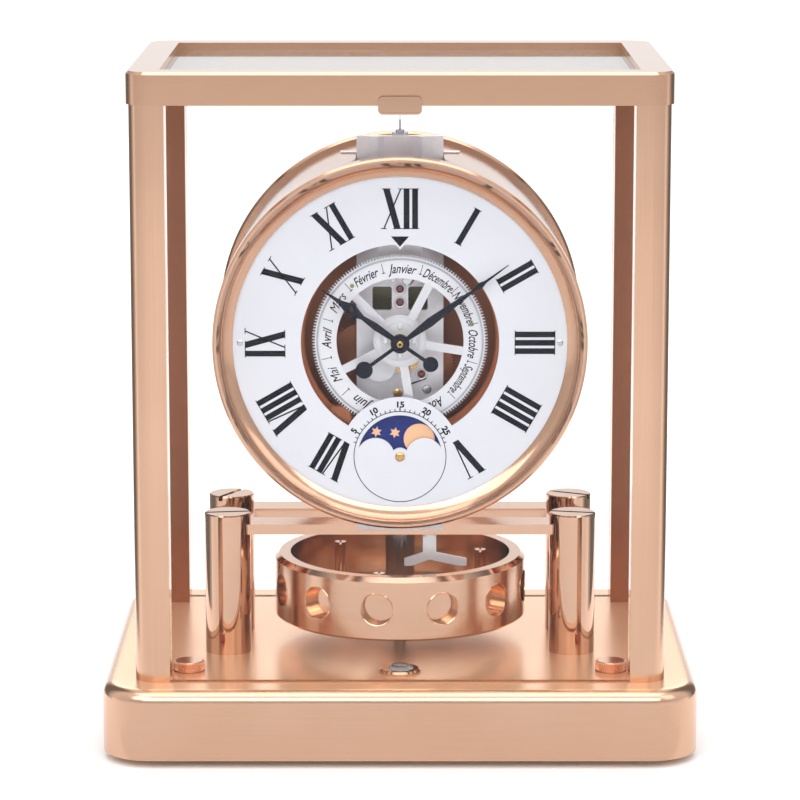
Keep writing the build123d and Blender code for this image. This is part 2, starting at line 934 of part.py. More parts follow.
def rear_cover():
    """Rear cover of the drum, turned in one piece with the proud rim."""
    with BuildPart() as cover:
        with BuildSketch(half_section()):
            with BuildLine():
                Polyline(
                    (0, drum_rear),
                    (rim_radius - rim_edge, drum_rear),
                    (rim_radius, drum_rear + rim_edge),
                    (rim_radius, drum_rear + rim_depth - rim_edge),
                    (rim_radius - rim_edge, drum_rear + rim_depth),
                    (rim_radius - rim_step, drum_rear + rim_depth),
                    (rim_radius - rim_step, drum_rear + rim_depth - rim_sink),
                    (cover_groove_outer, drum_rear + rim_depth - rim_sink),
                    (cover_groove_outer, drum_rear + rim_depth - 2 * rim_sink),
                    (cover_groove_inner, drum_rear + rim_depth - 2 * rim_sink),
                    (cover_groove_inner, drum_rear + rim_depth - rim_sink),
                    (0, drum_rear + rim_depth - rim_sink),
                    close=True,
                )
            make_face()
        revolve(axis=drum_axis)
    save(cover, "rear_cover")


def bellows():
    """Sealed gas bellows, folded like a concertina, fixed to the rear cover."""
    front = drum_rear - bellows_length
    fold = (bellows_length - 2 * bellows_cap) / bellows_folds
    points = [(0, drum_rear), (bellows_inner, drum_rear), (bellows_inner, drum_rear - bellows_cap)]
    for number in range(bellows_folds):
        start = drum_rear - bellows_cap - number * fold
        points.append((bellows_outer, start - fold / 2))
        points.append((bellows_inner, start - fold))
    points.extend([(bellows_inner, front), (0, front)])
    with BuildPart() as capsule:
        with BuildSketch(half_section()):
            with BuildLine():
                Polyline(*points, close=True)
            make_face()
        revolve(axis=drum_axis)
    save(capsule, "bellows")


def push_plate():
    """Plate that the bellows push forward, with the boss that guides the spring."""
    back = drum_rear - bellows_length - seat
    with BuildPart() as plate:
        with BuildSketch(facing(back)):
            Circle(push_radius)
        extrude(amount=push_thick)
        with BuildSketch(facing(back - push_thick)):
            Circle(push_boss_radius)
        extrude(amount=push_boss_length)
    save(plate, "push_plate")


def bellows_spring():
    """Coil spring that presses the push plate back against the bellows."""
    front = partition_y + partition_thick + spring_wire
    back = drum_rear - bellows_length - seat - push_thick - spring_wire
    length = back - front - seat
    quarters = 4 * spring_turns

    def on_coil(quarter):
        angle = quarter * pi / 2
        return (
            spring_radius * cos(angle),
            front + length * quarter / quarters,
            dial_z + spring_radius * sin(angle),
        )

    with BuildPart() as spring:
        with BuildLine() as coil:
            for quarter in range(quarters):
                ThreePointArc(on_coil(quarter), on_coil(quarter + 1 / 2), on_coil(quarter + 1))
        path = coil.wires()[0]
        with BuildSketch(Plane(path @ 0, z_dir=path % 0)):
            Circle(spring_wire)
        sweep(path=path)
    print("bellows spring: least gap between turns", length / spring_turns - 2 * spring_wire)
    save(spring, "bellows_spring")


def bezel():
    """Polished bezel ring that slopes in to the dial, with a thin step behind its crest."""
    with BuildPart() as ring:
        with BuildSketch(half_section()):
            with BuildLine():
                slope_start = (bezel_inner, dial_y - bezel_lip)
                crest = (bezel_crest, bezel_front)
                middle = (
                    (bezel_inner + bezel_crest) / 2 + bezel_lip,
                    (dial_y - bezel_lip + bezel_front) / 2 + bezel_lip / 2,
                )
                Line((bezel_inner, dial_y), slope_start)
                ThreePointArc(slope_start, middle, crest)
                Line(crest, (bezel_outer - bezel_round, bezel_front))
                Line((bezel_outer - bezel_round, bezel_front), (bezel_outer, bezel_front + bezel_round))
                Line((bezel_outer, bezel_front + bezel_round), (bezel_outer, drum_front - bezel_step))
                Line((bezel_outer, drum_front - bezel_step), (drum_radius, drum_front - bezel_step))
                Line((drum_radius, drum_front - bezel_step), (drum_radius, drum_front))
                Line((drum_radius, drum_front), (drum_radius - drum_wall, drum_front))
                Line((drum_radius - drum_wall, drum_front), (bezel_inner + dial_margin, dial_y + dial_thick))
                Line((bezel_inner + dial_margin, dial_y + dial_thick), (bezel_inner + dial_margin, dial_y))
                Line((bezel_inner + dial_margin, dial_y), (bezel_inner, dial_y))
            make_face()
        revolve(axis=drum_axis)
    save(ring, "bezel")


def dial_plate():
    """Dial with the open centre, the pointer notch, the moon field and its shaped window."""
    with BuildPart() as dial:
        with BuildSketch(facing(dial_y + dial_thick)):
            Circle(bezel_inner + dial_margin - seat)
            Circle(dial_hole, mode=Mode.SUBTRACT)
            with BuildLine():
                Polyline(
                    (-dial_notch_width, dial_hole + dial_notch_height),
                    (0, dial_hole - dial_notch_height),
                    (dial_notch_width, dial_hole + dial_notch_height),
                    close=True,
                )
            make_face()
            with Locations((0, -moon_drop)):
                Circle(moon_field)
            Circle(bezel_inner + dial_margin - seat, mode=Mode.INTERSECT)
        extrude(amount=dial_thick)
        with BuildSketch(facing(dial_y + dial_thick, up=-moon_drop)):
            Circle(moon_aperture)
            with Locations((0, -moon_aperture)):
                Rectangle(2 * moon_aperture, 2 * moon_aperture, mode=Mode.SUBTRACT)
            with Locations((-moon_hump_x, 0), (moon_hump_x, 0)):
                Circle(moon_hump, mode=Mode.SUBTRACT)
            Circle(moon_nose, mode=Mode.SUBTRACT)
        extrude(amount=dial_thick, mode=Mode.SUBTRACT)
        with BuildSketch(facing(dial_y + dial_thick, up=-moon_drop)):
            Circle(moon_arbor + running)
        extrude(amount=dial_thick, mode=Mode.SUBTRACT)
    save(dial, "dial_plate")


def add_disc(y, radius, thick, across=0.0, up=0.0):
    """Add a disc to the open part; its back lies at depth y and it grows to the front."""
    with BuildSketch(facing(y, across, up)) as disc:
        Circle(radius)
    extrude(disc.sketch, amount=thick)


def add_toothed(y, points, thick, across=0.0, up=0.0):
    """Add a toothed disc to the open part; its back lies at depth y."""
    with BuildSketch(facing(y, across, up)) as outline:
        with BuildLine():
            Polyline(*points, close=True)
        make_face()
    extrude(outline.sketch, amount=thick)


def add_arbor(across, up, jewelled):
    """Add an arbor between the plates with a pivot in each, finer where it is jewelled."""
    add_disc(back_plate_y, arbor_radius, back_plate_y - front_inner_y, across, up)
    pivot = pivot_radius if jewelled else arbor_front_radius
    add_disc(back_plate_y + plate_thick, pivot, back_plate_y + plate_thick - front_plate_y, across, up)


def pinion_place():
    """Across and up of the small wheel that drives the month ring."""
    pitch_ring = (month_outer + month_root) / 2
    reach = pitch_ring * (1 + pinion_teeth / month_teeth)
    angle = radians(pinion_angle)
    return reach * cos(angle), reach * sin(angle)


def month_ring():
    """Month ring with fine outer teeth, straight spokes and a hub that runs on the hour pipe."""
    with BuildPart() as ring:
        with BuildSketch(facing(month_y + month_thick)) as band:
            with BuildLine():
                Polyline(*toothed(month_teeth, month_root, month_outer, pi / 2), close=True)
            make_face()
            Circle(month_inner, mode=Mode.SUBTRACT)
            for spoke in range(month_spokes):
                angle = month_spoke_start + spoke * 360 / month_spokes
                reach = (month_inner + month_root) / 2
                place = (reach / 2 * cos(radians(angle)), reach / 2 * sin(radians(angle)))
                with Locations(Location(place, angle)):
                    Rectangle(reach, month_spoke)
            Circle(month_hub)
            Circle(month_bore, mode=Mode.SUBTRACT)
            with PolarLocations(month_screw_ring, month_screws):
                Circle(month_screw_hole, mode=Mode.SUBTRACT)
        extrude(amount=month_thick)
    save(ring, "month_ring")


def month_pinion():
    """Small wheel in mesh with the month ring, pivoted in the drum's flange."""
    across, up = pinion_place()
    angle = radians(pinion_angle)
    pitch_radius = hypot(across, up) - (month_outer + month_root) / 2
    depth = (month_outer - month_root) / 2
    phase = meshed(angle, month_teeth, pi / 2, pinion_teeth)
    points = toothed(pinion_teeth, pitch_radius - depth - running, pitch_radius + depth / 2, phase)
    flange_back = flange_front + flange_thick
    with BuildPart() as pinion:
        add_toothed(month_y + month_thick + seat, points, month_thick + 2 * seat, across, up)
        add_disc(flange_back, pinion_arbor, flange_back - month_y, across, up)
    save(pinion, "month_pinion")


def moon_disc():
    """Moon disc with its toothed edge, hub and arbor, carried by dial and flange."""
    root = moon_disc_radius - month_outer + month_root
    disc_back = moon_disc_y + moon_disc_thick
    hub_back = flange_front - seat
    arbor_back = flange_front + flange_thick
    with BuildPart() as disc:
        add_toothed(
            disc_back,
            toothed(moon_teeth, root, moon_disc_radius, pi / 2),
            moon_disc_thick,
            up=-moon_drop,
        )
        add_disc(hub_back, moon_hub, hub_back - disc_back, up=-moon_drop)
        add_disc(arbor_back, moon_arbor, arbor_back - dial_y, up=-moon_drop)
    save(disc, "moon_disc")


def hand(name, angle, back_y, tip, bulb_at, bulb, waist, belly_at, belly, tail, disc, bore, hole):
    """Clock hand pointing along X of its plane: blade, bulb, tip, tail rod and counterweight disc."""
    with BuildPart() as pointer:
        with BuildSketch(facing(back_y, turn=90 - angle)):
            with BuildLine():
                Polyline(
                    (0, waist),
                    (belly_at, belly),
                    (bulb_at - 2 * bulb, waist),
                    (bulb_at, bulb),
                    (bulb_at + 2 * bulb, waist),
                    (tip, hand_tip),
                    (tip, -hand_tip),
                    (bulb_at + 2 * bulb, -waist),
                    (bulb_at, -bulb),
                    (bulb_at - 2 * bulb, -waist),
                    (belly_at, -belly),
                    (0, -waist),
                    close=True,
                )
            make_face()
            with Locations((-tail / 2, 0)):
                Rectangle(tail, tail_width)
            with Locations((-tail, 0)):
                Circle(disc)
            if hole:
                with Locations((bulb_at, 0)):
                    Circle(hole, mode=Mode.SUBTRACT)
            Circle(hand_hub)
            Circle(bore, mode=Mode.SUBTRACT)
        extrude(amount=hand_thick)
    save(pointer, name)


def hands():
    """The hour hand on its pipe and the minute hand on the arbor."""
    hand(
        "hour_hand",
        angle=hour_angle,
        back_y=hour_hand_y + hand_thick,
        tip=hour_length,
        bulb_at=hour_bulb_at,
        bulb=hour_bulb,
        waist=hour_waist,
        belly_at=hour_bulb_at / 2,
        belly=hour_belly,
        tail=hour_tail,
        disc=hour_disc,
        bore=pipe_radius + running,
        hole=hour_bulb_hole,
    )
    hand(
        "minute_hand",
        angle=minute_angle,
        back_y=minute_hand_y + hand_thick,
        tip=minute_length,
        bulb_at=minute_bulb_at,
        bulb=minute_bulb,
        waist=minute_waist,
        belly_at=minute_belly_at,
        belly=minute_belly,
        tail=minute_tail,
        disc=minute_disc,
        bore=arbor_front_radius + running,
        hole=0,
    )


def centre_phases():
    """Phases of the two meshes that share the centre arbor and the intermediate wheel."""
    to_intermediate = atan2(intermediate_up, intermediate_across)
    to_barrel = atan2(barrel_up - intermediate_up, barrel_across - intermediate_across)
    return to_intermediate, to_barrel


def centre_wheel():
    """Centre arbor with its wheel and pinion, and the cannon pinion and pipe for the hands."""
    wheel_radius, _ = shared(escape_up, centre_teeth, escape_pinion_teeth)
    distance = hypot(intermediate_across, intermediate_up)
    pinion_radius, _ = shared(distance, centre_pinion_teeth, intermediate_teeth)
    cannon_radius, _ = shared(minute_wheel_reach, cannon_teeth, minute_wheel_teeth)
    to_intermediate, _ = centre_phases()
    thick = pinion_thick / 2
    with BuildPart() as centre:
        add_arbor(0, 0, False)
        add_disc(front_plate_y, arbor_front_radius, front_plate_y - minute_hand_y + hand_thick)
        add_toothed(
            centre_wheel_y + wheel_thick,
            gear_points(centre_teeth, wheel_radius, pi / 2),
            wheel_thick,
        )
        add_toothed(
            intermediate_y + wheel_thick + thick / 2,
            gear_points(centre_pinion_teeth, pinion_radius, to_intermediate),
            wheel_thick + thick,
        )
        add_toothed(
            minute_wheel_y + wheel_thick + seat,
            gear_points(cannon_teeth, cannon_radius, radians(minute_wheel_angle)),
            wheel_thick + 2 * seat,
        )
        pipe_front = minute_hand_y + hand_thick + seat
        add_disc(minute_wheel_y - seat, pipe_radius, minute_wheel_y - seat - pipe_front)
    save(centre, "centre_wheel")


def hour_wheel():
    """Hour wheel with the pipe that the hour hand sits on and the month ring runs on."""
    minute_angle_xz = radians(minute_wheel_angle)
    hour_radius, _ = shared(minute_wheel_reach, hour_teeth, minute_pinion_teeth)
    front = hour_hand_y + hand_thick
    with BuildPart() as wheel:
        add_toothed(
            hour_wheel_y + wheel_thick,
            gear_points(hour_teeth, hour_radius, minute_angle_xz),
            wheel_thick,
        )
        add_disc(hour_wheel_y, month_bore - running, hour_wheel_y - front)
        with BuildSketch(facing(hour_wheel_y + wheel_thick)):
            Circle(pipe_radius + running)
        extrude(amount=hour_wheel_y + wheel_thick - front, mode=Mode.SUBTRACT)
    save(wheel, "hour_wheel")


def minute_wheel():
    """Minute wheel and pinion of the motion work, on a stud in the front plate."""
    angle = radians(minute_wheel_angle)
    across, up = minute_wheel_reach * cos(angle), minute_wheel_reach * sin(angle)
    _, wheel_radius = shared(minute_wheel_reach, cannon_teeth, minute_wheel_teeth)
    _, pinion_radius = shared(minute_wheel_reach, hour_teeth, minute_pinion_teeth)
    wheel_phase = meshed(angle, cannon_teeth, angle, minute_wheel_teeth)
    pinion_phase = meshed(angle, hour_teeth, angle, minute_pinion_teeth)
    pinion_front = hour_wheel_y - seat
    with BuildPart() as wheel:
        add_toothed(
            minute_wheel_y + wheel_thick,
            gear_points(minute_wheel_teeth, wheel_radius, wheel_phase),
            wheel_thick,
            across,
            up,
        )
        add_toothed(
            minute_wheel_y,
            gear_points(minute_pinion_teeth, pinion_radius, pinion_phase),
            minute_wheel_y - pinion_front,
            across,
            up,
        )
        add_disc(front_inner_y, pivot_radius, front_inner_y - minute_wheel_y, across, up)
    save(wheel, "minute_wheel")


def calendar_wheel():
    """Small silver wheel in mesh with the hour wheel, seen through the dial."""
    angle = atan2(calendar_up, calendar_across)
    hour_radius, _ = shared(minute_wheel_reach, hour_teeth, minute_pinion_teeth)
    radius = hypot(calendar_across, calendar_up) - hour_radius
    phase = meshed(angle, hour_teeth, radians(minute_wheel_angle), calendar_teeth)
    with BuildPart() as wheel:
        add_toothed(
            hour_wheel_y + wheel_thick,
            gear_points(calendar_teeth, radius, phase),
            wheel_thick,
            calendar_across,
            calendar_up,
        )
        add_disc(
            front_inner_y, pivot_radius, front_inner_y - hour_wheel_y, calendar_across, calendar_up
        )
    save(wheel, "calendar_wheel")


def intermediate_wheel():
    """Intermediate wheel that drives the centre pinion, with its own pinion behind."""
    to_intermediate, to_barrel = centre_phases()
    place = (intermediate_across, intermediate_up)
    _, radius = shared(hypot(*place), centre_pinion_teeth, intermediate_teeth)
    barrel_distance = hypot(barrel_across - intermediate_across, barrel_up - intermediate_up)
    pinion_radius, _ = shared(barrel_distance, barrel_pinion_teeth, barrel_teeth)
    phase = meshed(to_intermediate, centre_pinion_teeth, to_intermediate, intermediate_teeth)
    with BuildPart() as wheel:
        add_arbor(*place, True)
        add_toothed(
            intermediate_y + wheel_thick, gear_points(intermediate_teeth, radius, phase), wheel_thick, *place
        )
        add_toothed(
            barrel_y + pinion_thick,
            gear_points(barrel_pinion_teeth, pinion_radius, to_barrel),
            wheel_thick + pinion_thick,
            *place,
        )
    save(wheel, "intermediate_wheel")


def barrel():
    """Winding barrel with the great wheel on its front."""
    _, to_barrel = centre_phases()
    place = (barrel_across, barrel_up)
    distance = hypot(barrel_across - intermediate_across, barrel_up - intermediate_up)
    _, radius = shared(distance, barrel_pinion_teeth, barrel_teeth)
    phase = meshed(to_barrel, barrel_pinion_teeth, to_barrel, barrel_teeth)
    with BuildPart() as drum:
        add_arbor(*place, False)
        add_toothed(barrel_y + wheel_thick, gear_points(barrel_teeth, radius, phase), wheel_thick, *place)
        add_disc(barrel_y + wheel_thick + barrel_depth, barrel_radius, barrel_depth, *place)
    save(drum, "barrel")


def escape_wheel():
    """Escape wheel and its pinion in mesh with the centre wheel."""
    _, pinion_radius = shared(escape_up, centre_teeth, escape_pinion_teeth)
    phase = meshed(pi / 2, centre_teeth, pi / 2, escape_pinion_teeth)
    thick = wheel_thick + 2 * seat
    with BuildPart() as wheel:
        add_arbor(0, escape_up, True)
        add_toothed(
            centre_wheel_y + wheel_thick + seat,
            gear_points(escape_pinion_teeth, pinion_radius, phase),
            thick,
            up=escape_up,
        )
        add_toothed(
            escape_y + escape_thick,
            toothed(escape_teeth, escape_root, escape_radius, pi / 2),
            escape_thick,
            up=escape_up,
        )
    save(wheel, "escape_wheel")


def pallet_lever():
    """Pallets over the escape wheel, on an arbor that also carries the fork behind the plate."""
    reach = escape_radius + pallet_clear
    fall = pallet_up - escape_up
    with BuildPart() as lever:
        add_arbor(0, pallet_up, True)
        with BuildSketch(facing(escape_y + escape_thick, up=escape_up)):
            for side in (-1, 1):
                angle = radians(90 - side * pallet_span)
                end = ((reach + pallet_stone / 2) * cos(angle), (reach + pallet_stone / 2) * sin(angle))
                length = hypot(end[0], fall - end[1])
                lean = degrees(atan2(end[1] - fall, end[0]))
                with Locations(Location((end[0] / 2, (end[1] + fall) / 2), lean)):
                    Rectangle(length, pallet_arm)
                with Locations(Location(end, 90 - side * pallet_span)):
                    Rectangle(pallet_stone, pallet_arm)
            with Locations((0, fall)):
                Circle(jewel_radius / 2)
            Circle(escape_radius + pallet_clear, mode=Mode.SUBTRACT)
        extrude(amount=escape_thick)
        fork_back = back_plate_y + plate_thick + jewel_proud + seat + escape_thick
        add_disc(fork_back, pivot_radius, fork_back - back_plate_y - plate_thick, up=pallet_up)
        with BuildSketch(facing(fork_back, up=pallet_up)):
            with Locations((0, -fork_length / 2)):
                Rectangle(pallet_arm, fork_length)
            with Locations((0, -fork_length)):
                Circle(fork_half)
            with Locations((0, -fork_length - fork_half / 2)):
                Rectangle(fork_slot, fork_half, mode=Mode.SUBTRACT)
            Circle(jewel_radius / 2)
        extrude(amount=escape_thick)
    save(lever, "pallet_lever")


def balance_ring():
    """Balance ring with its polished bevel, round blind holes and spoked web."""
    top = ring_bottom + ring_height
    web_bottom = ring_bottom + web_rise
    with BuildPart() as ring:
        with BuildSketch(Plane.XZ):
            with BuildLine():
                Polyline(
                    (ring_inner, ring_bottom),
                    (ring_outer - ring_edge / 2, ring_bottom),
                    (ring_outer, ring_bottom + ring_edge / 2),
                    (ring_outer, top - ring_edge),
                    (ring_outer - ring_edge, top),
                    (ring_inner, top),
                    close=True,
                )
            make_face()
        revolve(axis=Axis.Z)
        for hole in range(ring_holes):
            angle = radians(ring_hole_start + hole * 360 / ring_holes)
            middle = (0, 0, ring_bottom + ring_height / 2)
            outward = Plane(origin=middle, z_dir=(cos(angle), sin(angle), 0))
            with BuildSketch(outward.offset(ring_outer - ring_hole_depth)):
                Circle(ring_hole_radius)
            extrude(amount=ring_hole_depth + overrun, mode=Mode.SUBTRACT)
        with BuildSketch(Plane.XY.offset(web_bottom)):
            Circle(ring_inner + web_root)
            Circle(ring_inner - web_rim, mode=Mode.SUBTRACT)
            with PolarLocations(ring_inner / 2, weight_count, start_angle=weight_start):
                Rectangle(ring_inner, web_spoke)
            with Locations(*weight_places()):
                Circle(2 * weight_radius)
            Circle(spindle_radius + seat, mode=Mode.SUBTRACT)
        extrude(amount=web_thick)
    save(ring, "balance_ring")


def weight_places():
    """Places of the slotted timing weights round the balance."""
    angles = [radians(weight_start + number * 360 / weight_count) for number in range(weight_count)]
    return [(weight_reach * cos(angle), weight_reach * sin(angle)) for angle in angles]


def balance_hub():
    """Hub, tube and lower spindle of the balance in one piece."""
    web_top = ring_bottom + web_rise + web_thick
    with BuildPart() as hub:
        with BuildSketch(Plane.XY.offset(web_top)):
            Circle(hub_radius)
        extrude(amount=hub_top - web_top)
        with BuildSketch(Plane.XY.offset(hub_top)):
            Circle(tube_radius)
        extrude(amount=tube_top - hub_top)
        with BuildSketch(Plane.XY.offset(tube_top)):
            Circle(tube_bore)
        extrude(amount=-wire_tail - overrun, mode=Mode.SUBTRACT)
        with BuildSketch(Plane.XY.offset(base_top + spindle_gap)):
            Circle(spindle_radius)
        extrude(amount=web_top - base_top - spindle_gap)
        with BuildSketch(Plane.XZ.offset(tube_radius - running)):
            with Locations((0, impulse_z)):
                Circle(impulse_radius)
        extrude(amount=impulse_radius / 2)
    save(hub, "balance_hub")


def balance_weights():
    """Slotted round weights that stand on the web of the balance."""
    web_top = ring_bottom + web_rise + web_thick
    with BuildPart() as weights:
        with BuildSketch(Plane.XY.offset(web_top)):
            with Locations(*weight_places()):
                Circle(weight_radius)
        extrude(amount=weight_top - web_top)
        for place in weight_places():
            with BuildSketch(Plane.XY.offset(weight_top)):
                with Locations(place):
                    Rectangle(weight_slot, 2 * weight_radius + overrun)
            extrude(amount=-weight_slot, mode=Mode.SUBTRACT)
    save(weights, "balance_weights")


def locking_lever():
    """Forked lever under the bridge plate that holds the balance when the clock is carried."""
    top = bridge_bottom - seat
    ankle = top - lever_drop
    with BuildPart() as lever:
        with BuildSketch(Plane.XZ.offset(-lever_y)):
            with BuildLine():
                Polyline(
                    (lever_x - lever_width / 2, top),
                    (lever_x + lever_width / 2, top),
                    (lever_x + lever_width / 2, ankle),
                    (lever_right_x, lever_foot_z + lever_leg),
                    (lever_right_x, lever_foot_z),
                    (lever_right_x - lever_leg, lever_foot_z),
                    (lever_x, ankle - lever_leg),
                    (lever_left_x + lever_leg, lever_foot_z),
                    (lever_left_x, lever_foot_z),
                    (lever_left_x, lever_foot_z + lever_leg),
                    (lever_x - lever_width / 2, ankle),
                    close=True,
                )
            make_face()
        extrude(amount=lever_thick)
        pivot = (lever_x, lever_y - lever_thick / 2)
        with BuildSketch(Plane.XY.offset(top)):
            with Locations(pivot):
                Circle(lever_head)
        extrude(amount=-lever_head_thick)
        with BuildSketch(Plane.XY.offset(top)):
            with Locations(pivot):
                Circle(lever_pin)
        extrude(amount=bridge_thick)
    save(lever, "locking_lever")


def build():
    """Make every piece of the clock and write it to the parts folder."""
    os.makedirs("parts", exist_ok=True)
    base_plinth()
    base_bottom_plate()
    rear_foot()
    for place, side in zip(foot_places()[:2], ("left", "right")):
        foot_pad(place, f"{side}_foot_pad")
        levelling_screw(place, f"{side}_levelling_screw")
    spirit_level()
    for end, row in ((-1, "front"), (1, "rear")):
        for side, column in ((-1, "left"), (1, "right")):
            corner_post(side, end, f"post_{row}_{column}")
    lid_frame()
    cabinet_glass()
    door_tab()
    names = ("front_left", "front_right", "rear_left", "rear_right")
    for place, name in zip(pillar_places(), names):
        bridge_pillar(place, f"pillar_{name}")
    pillar_cap_screws()
    bridge_plate()
    frame_foot()
    frame_plate(front_plate_y, front_plate_top, True, "front_plate")
    frame_plate(back_plate_y, plate_top, False, "back_plate")
    jewels()
    plate_spacers()
    suspension_bracket()
    suspension()
    drum_housing()
    drum_spacers()
    rear_cover()
    bellows()
    push_plate()
    bellows_spring()
    bezel()
    dial_plate()
    month_ring()
    month_pinion()
    moon_disc()
    hands()
    centre_wheel()
    hour_wheel()
    minute_wheel()
    calendar_wheel()
    intermediate_wheel()
    barrel()
    escape_wheel()
    pallet_lever()
    balance_ring()
    balance_hub()
    balance_weights()
    locking_lever()


build()
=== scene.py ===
"""Dressed model of a moon phase desk clock: its finishes, prints and fine fittings."""
from __future__ import annotations

import logging
import math
from collections.abc import Sequence
from dataclasses import dataclass, field
from enum import Enum
from functools import cache
from typing import Any

import bmesh
import bpy
from mathutils import Matrix, Vector

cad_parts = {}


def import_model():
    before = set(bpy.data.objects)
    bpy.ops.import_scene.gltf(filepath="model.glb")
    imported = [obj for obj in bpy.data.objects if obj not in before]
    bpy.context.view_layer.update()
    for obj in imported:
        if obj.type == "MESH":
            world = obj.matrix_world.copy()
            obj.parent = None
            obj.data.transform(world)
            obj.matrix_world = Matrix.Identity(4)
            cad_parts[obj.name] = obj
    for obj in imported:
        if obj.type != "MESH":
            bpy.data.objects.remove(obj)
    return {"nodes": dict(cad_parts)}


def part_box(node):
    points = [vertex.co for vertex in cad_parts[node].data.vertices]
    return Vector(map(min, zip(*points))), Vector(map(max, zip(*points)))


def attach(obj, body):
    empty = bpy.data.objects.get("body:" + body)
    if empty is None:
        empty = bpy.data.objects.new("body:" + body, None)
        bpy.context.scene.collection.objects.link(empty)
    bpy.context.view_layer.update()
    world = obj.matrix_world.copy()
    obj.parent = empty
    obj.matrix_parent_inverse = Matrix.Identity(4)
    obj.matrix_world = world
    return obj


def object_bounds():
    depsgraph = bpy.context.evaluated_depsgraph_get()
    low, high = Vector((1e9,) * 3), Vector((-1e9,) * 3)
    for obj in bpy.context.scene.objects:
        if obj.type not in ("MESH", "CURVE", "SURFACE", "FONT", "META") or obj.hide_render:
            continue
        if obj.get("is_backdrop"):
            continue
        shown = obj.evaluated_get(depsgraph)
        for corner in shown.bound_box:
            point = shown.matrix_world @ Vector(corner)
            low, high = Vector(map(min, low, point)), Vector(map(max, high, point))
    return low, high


MM = 0.001
DIAL_UP = 137.2
MOON_UP = -39.2
TURN_REACH = 40.0
FINE_SHARE = 0.45
STEPS_TO_I = {"": 0.0, "I": 2.85, "V": 5.9, "X": 6.8}
STEPS_TO_X = {"": 0.0, "I": 2.9}
# Grey of the floor in front of the clock: painted shade.
FLOOR_SHADE_TONES = ((0.66, 0.66, 0.663, 1), (0.69, 0.69, 0.693, 1))
FLOOR_BEHIND = (0.97, 0.97, 0.975, 1)
CARD_TONES = ((0.675, 0.675, 0.678, 1), (0.66, 0.66, 0.663, 1))

Colour = tuple[float, float, float]
Point = tuple[float, float]
Spot = tuple[float, float, float]
Loop = Sequence[Point]
Mesh = bpy.types.Mesh
Nodes = dict[str, bpy.types.Object]
Socket = bpy.types.NodeSocket

log = logging.getLogger("moon_phase_clock")


def paint(red: int, green: int, blue: int) -> Colour:
    """Return a colour given in screen steps of 0 to 255 as linear light."""
    steps = (red, green, blue)
    return tuple(((step / 255 + 0.055) / 1.055) ** 2.4 if step > 10 else step / 3294 for step in steps)


class Lie(Enum):
    """Which way the fine marks of a finish run."""

    EVEN = "every way"
    ACROSS = "across the clock"
    UPRIGHT = "up and down"
    ROUND_DIAL = "round the dial"
    ROUND_RING = "round the balance"


class Where(Enum):
    """What tells the second zone of a finish from the first."""

    NOWHERE = "nowhere"
    FACING_UP = "faces that look up or down"
    FACING_FRONT = "faces that look to the front"
    DRUM_RADIUS = "distance from the dial axis"


class Facing(Enum):
    """Which way a flat piece looks, or the axis of a turned one runs."""

    FRONT = "front"
    UP = "up"


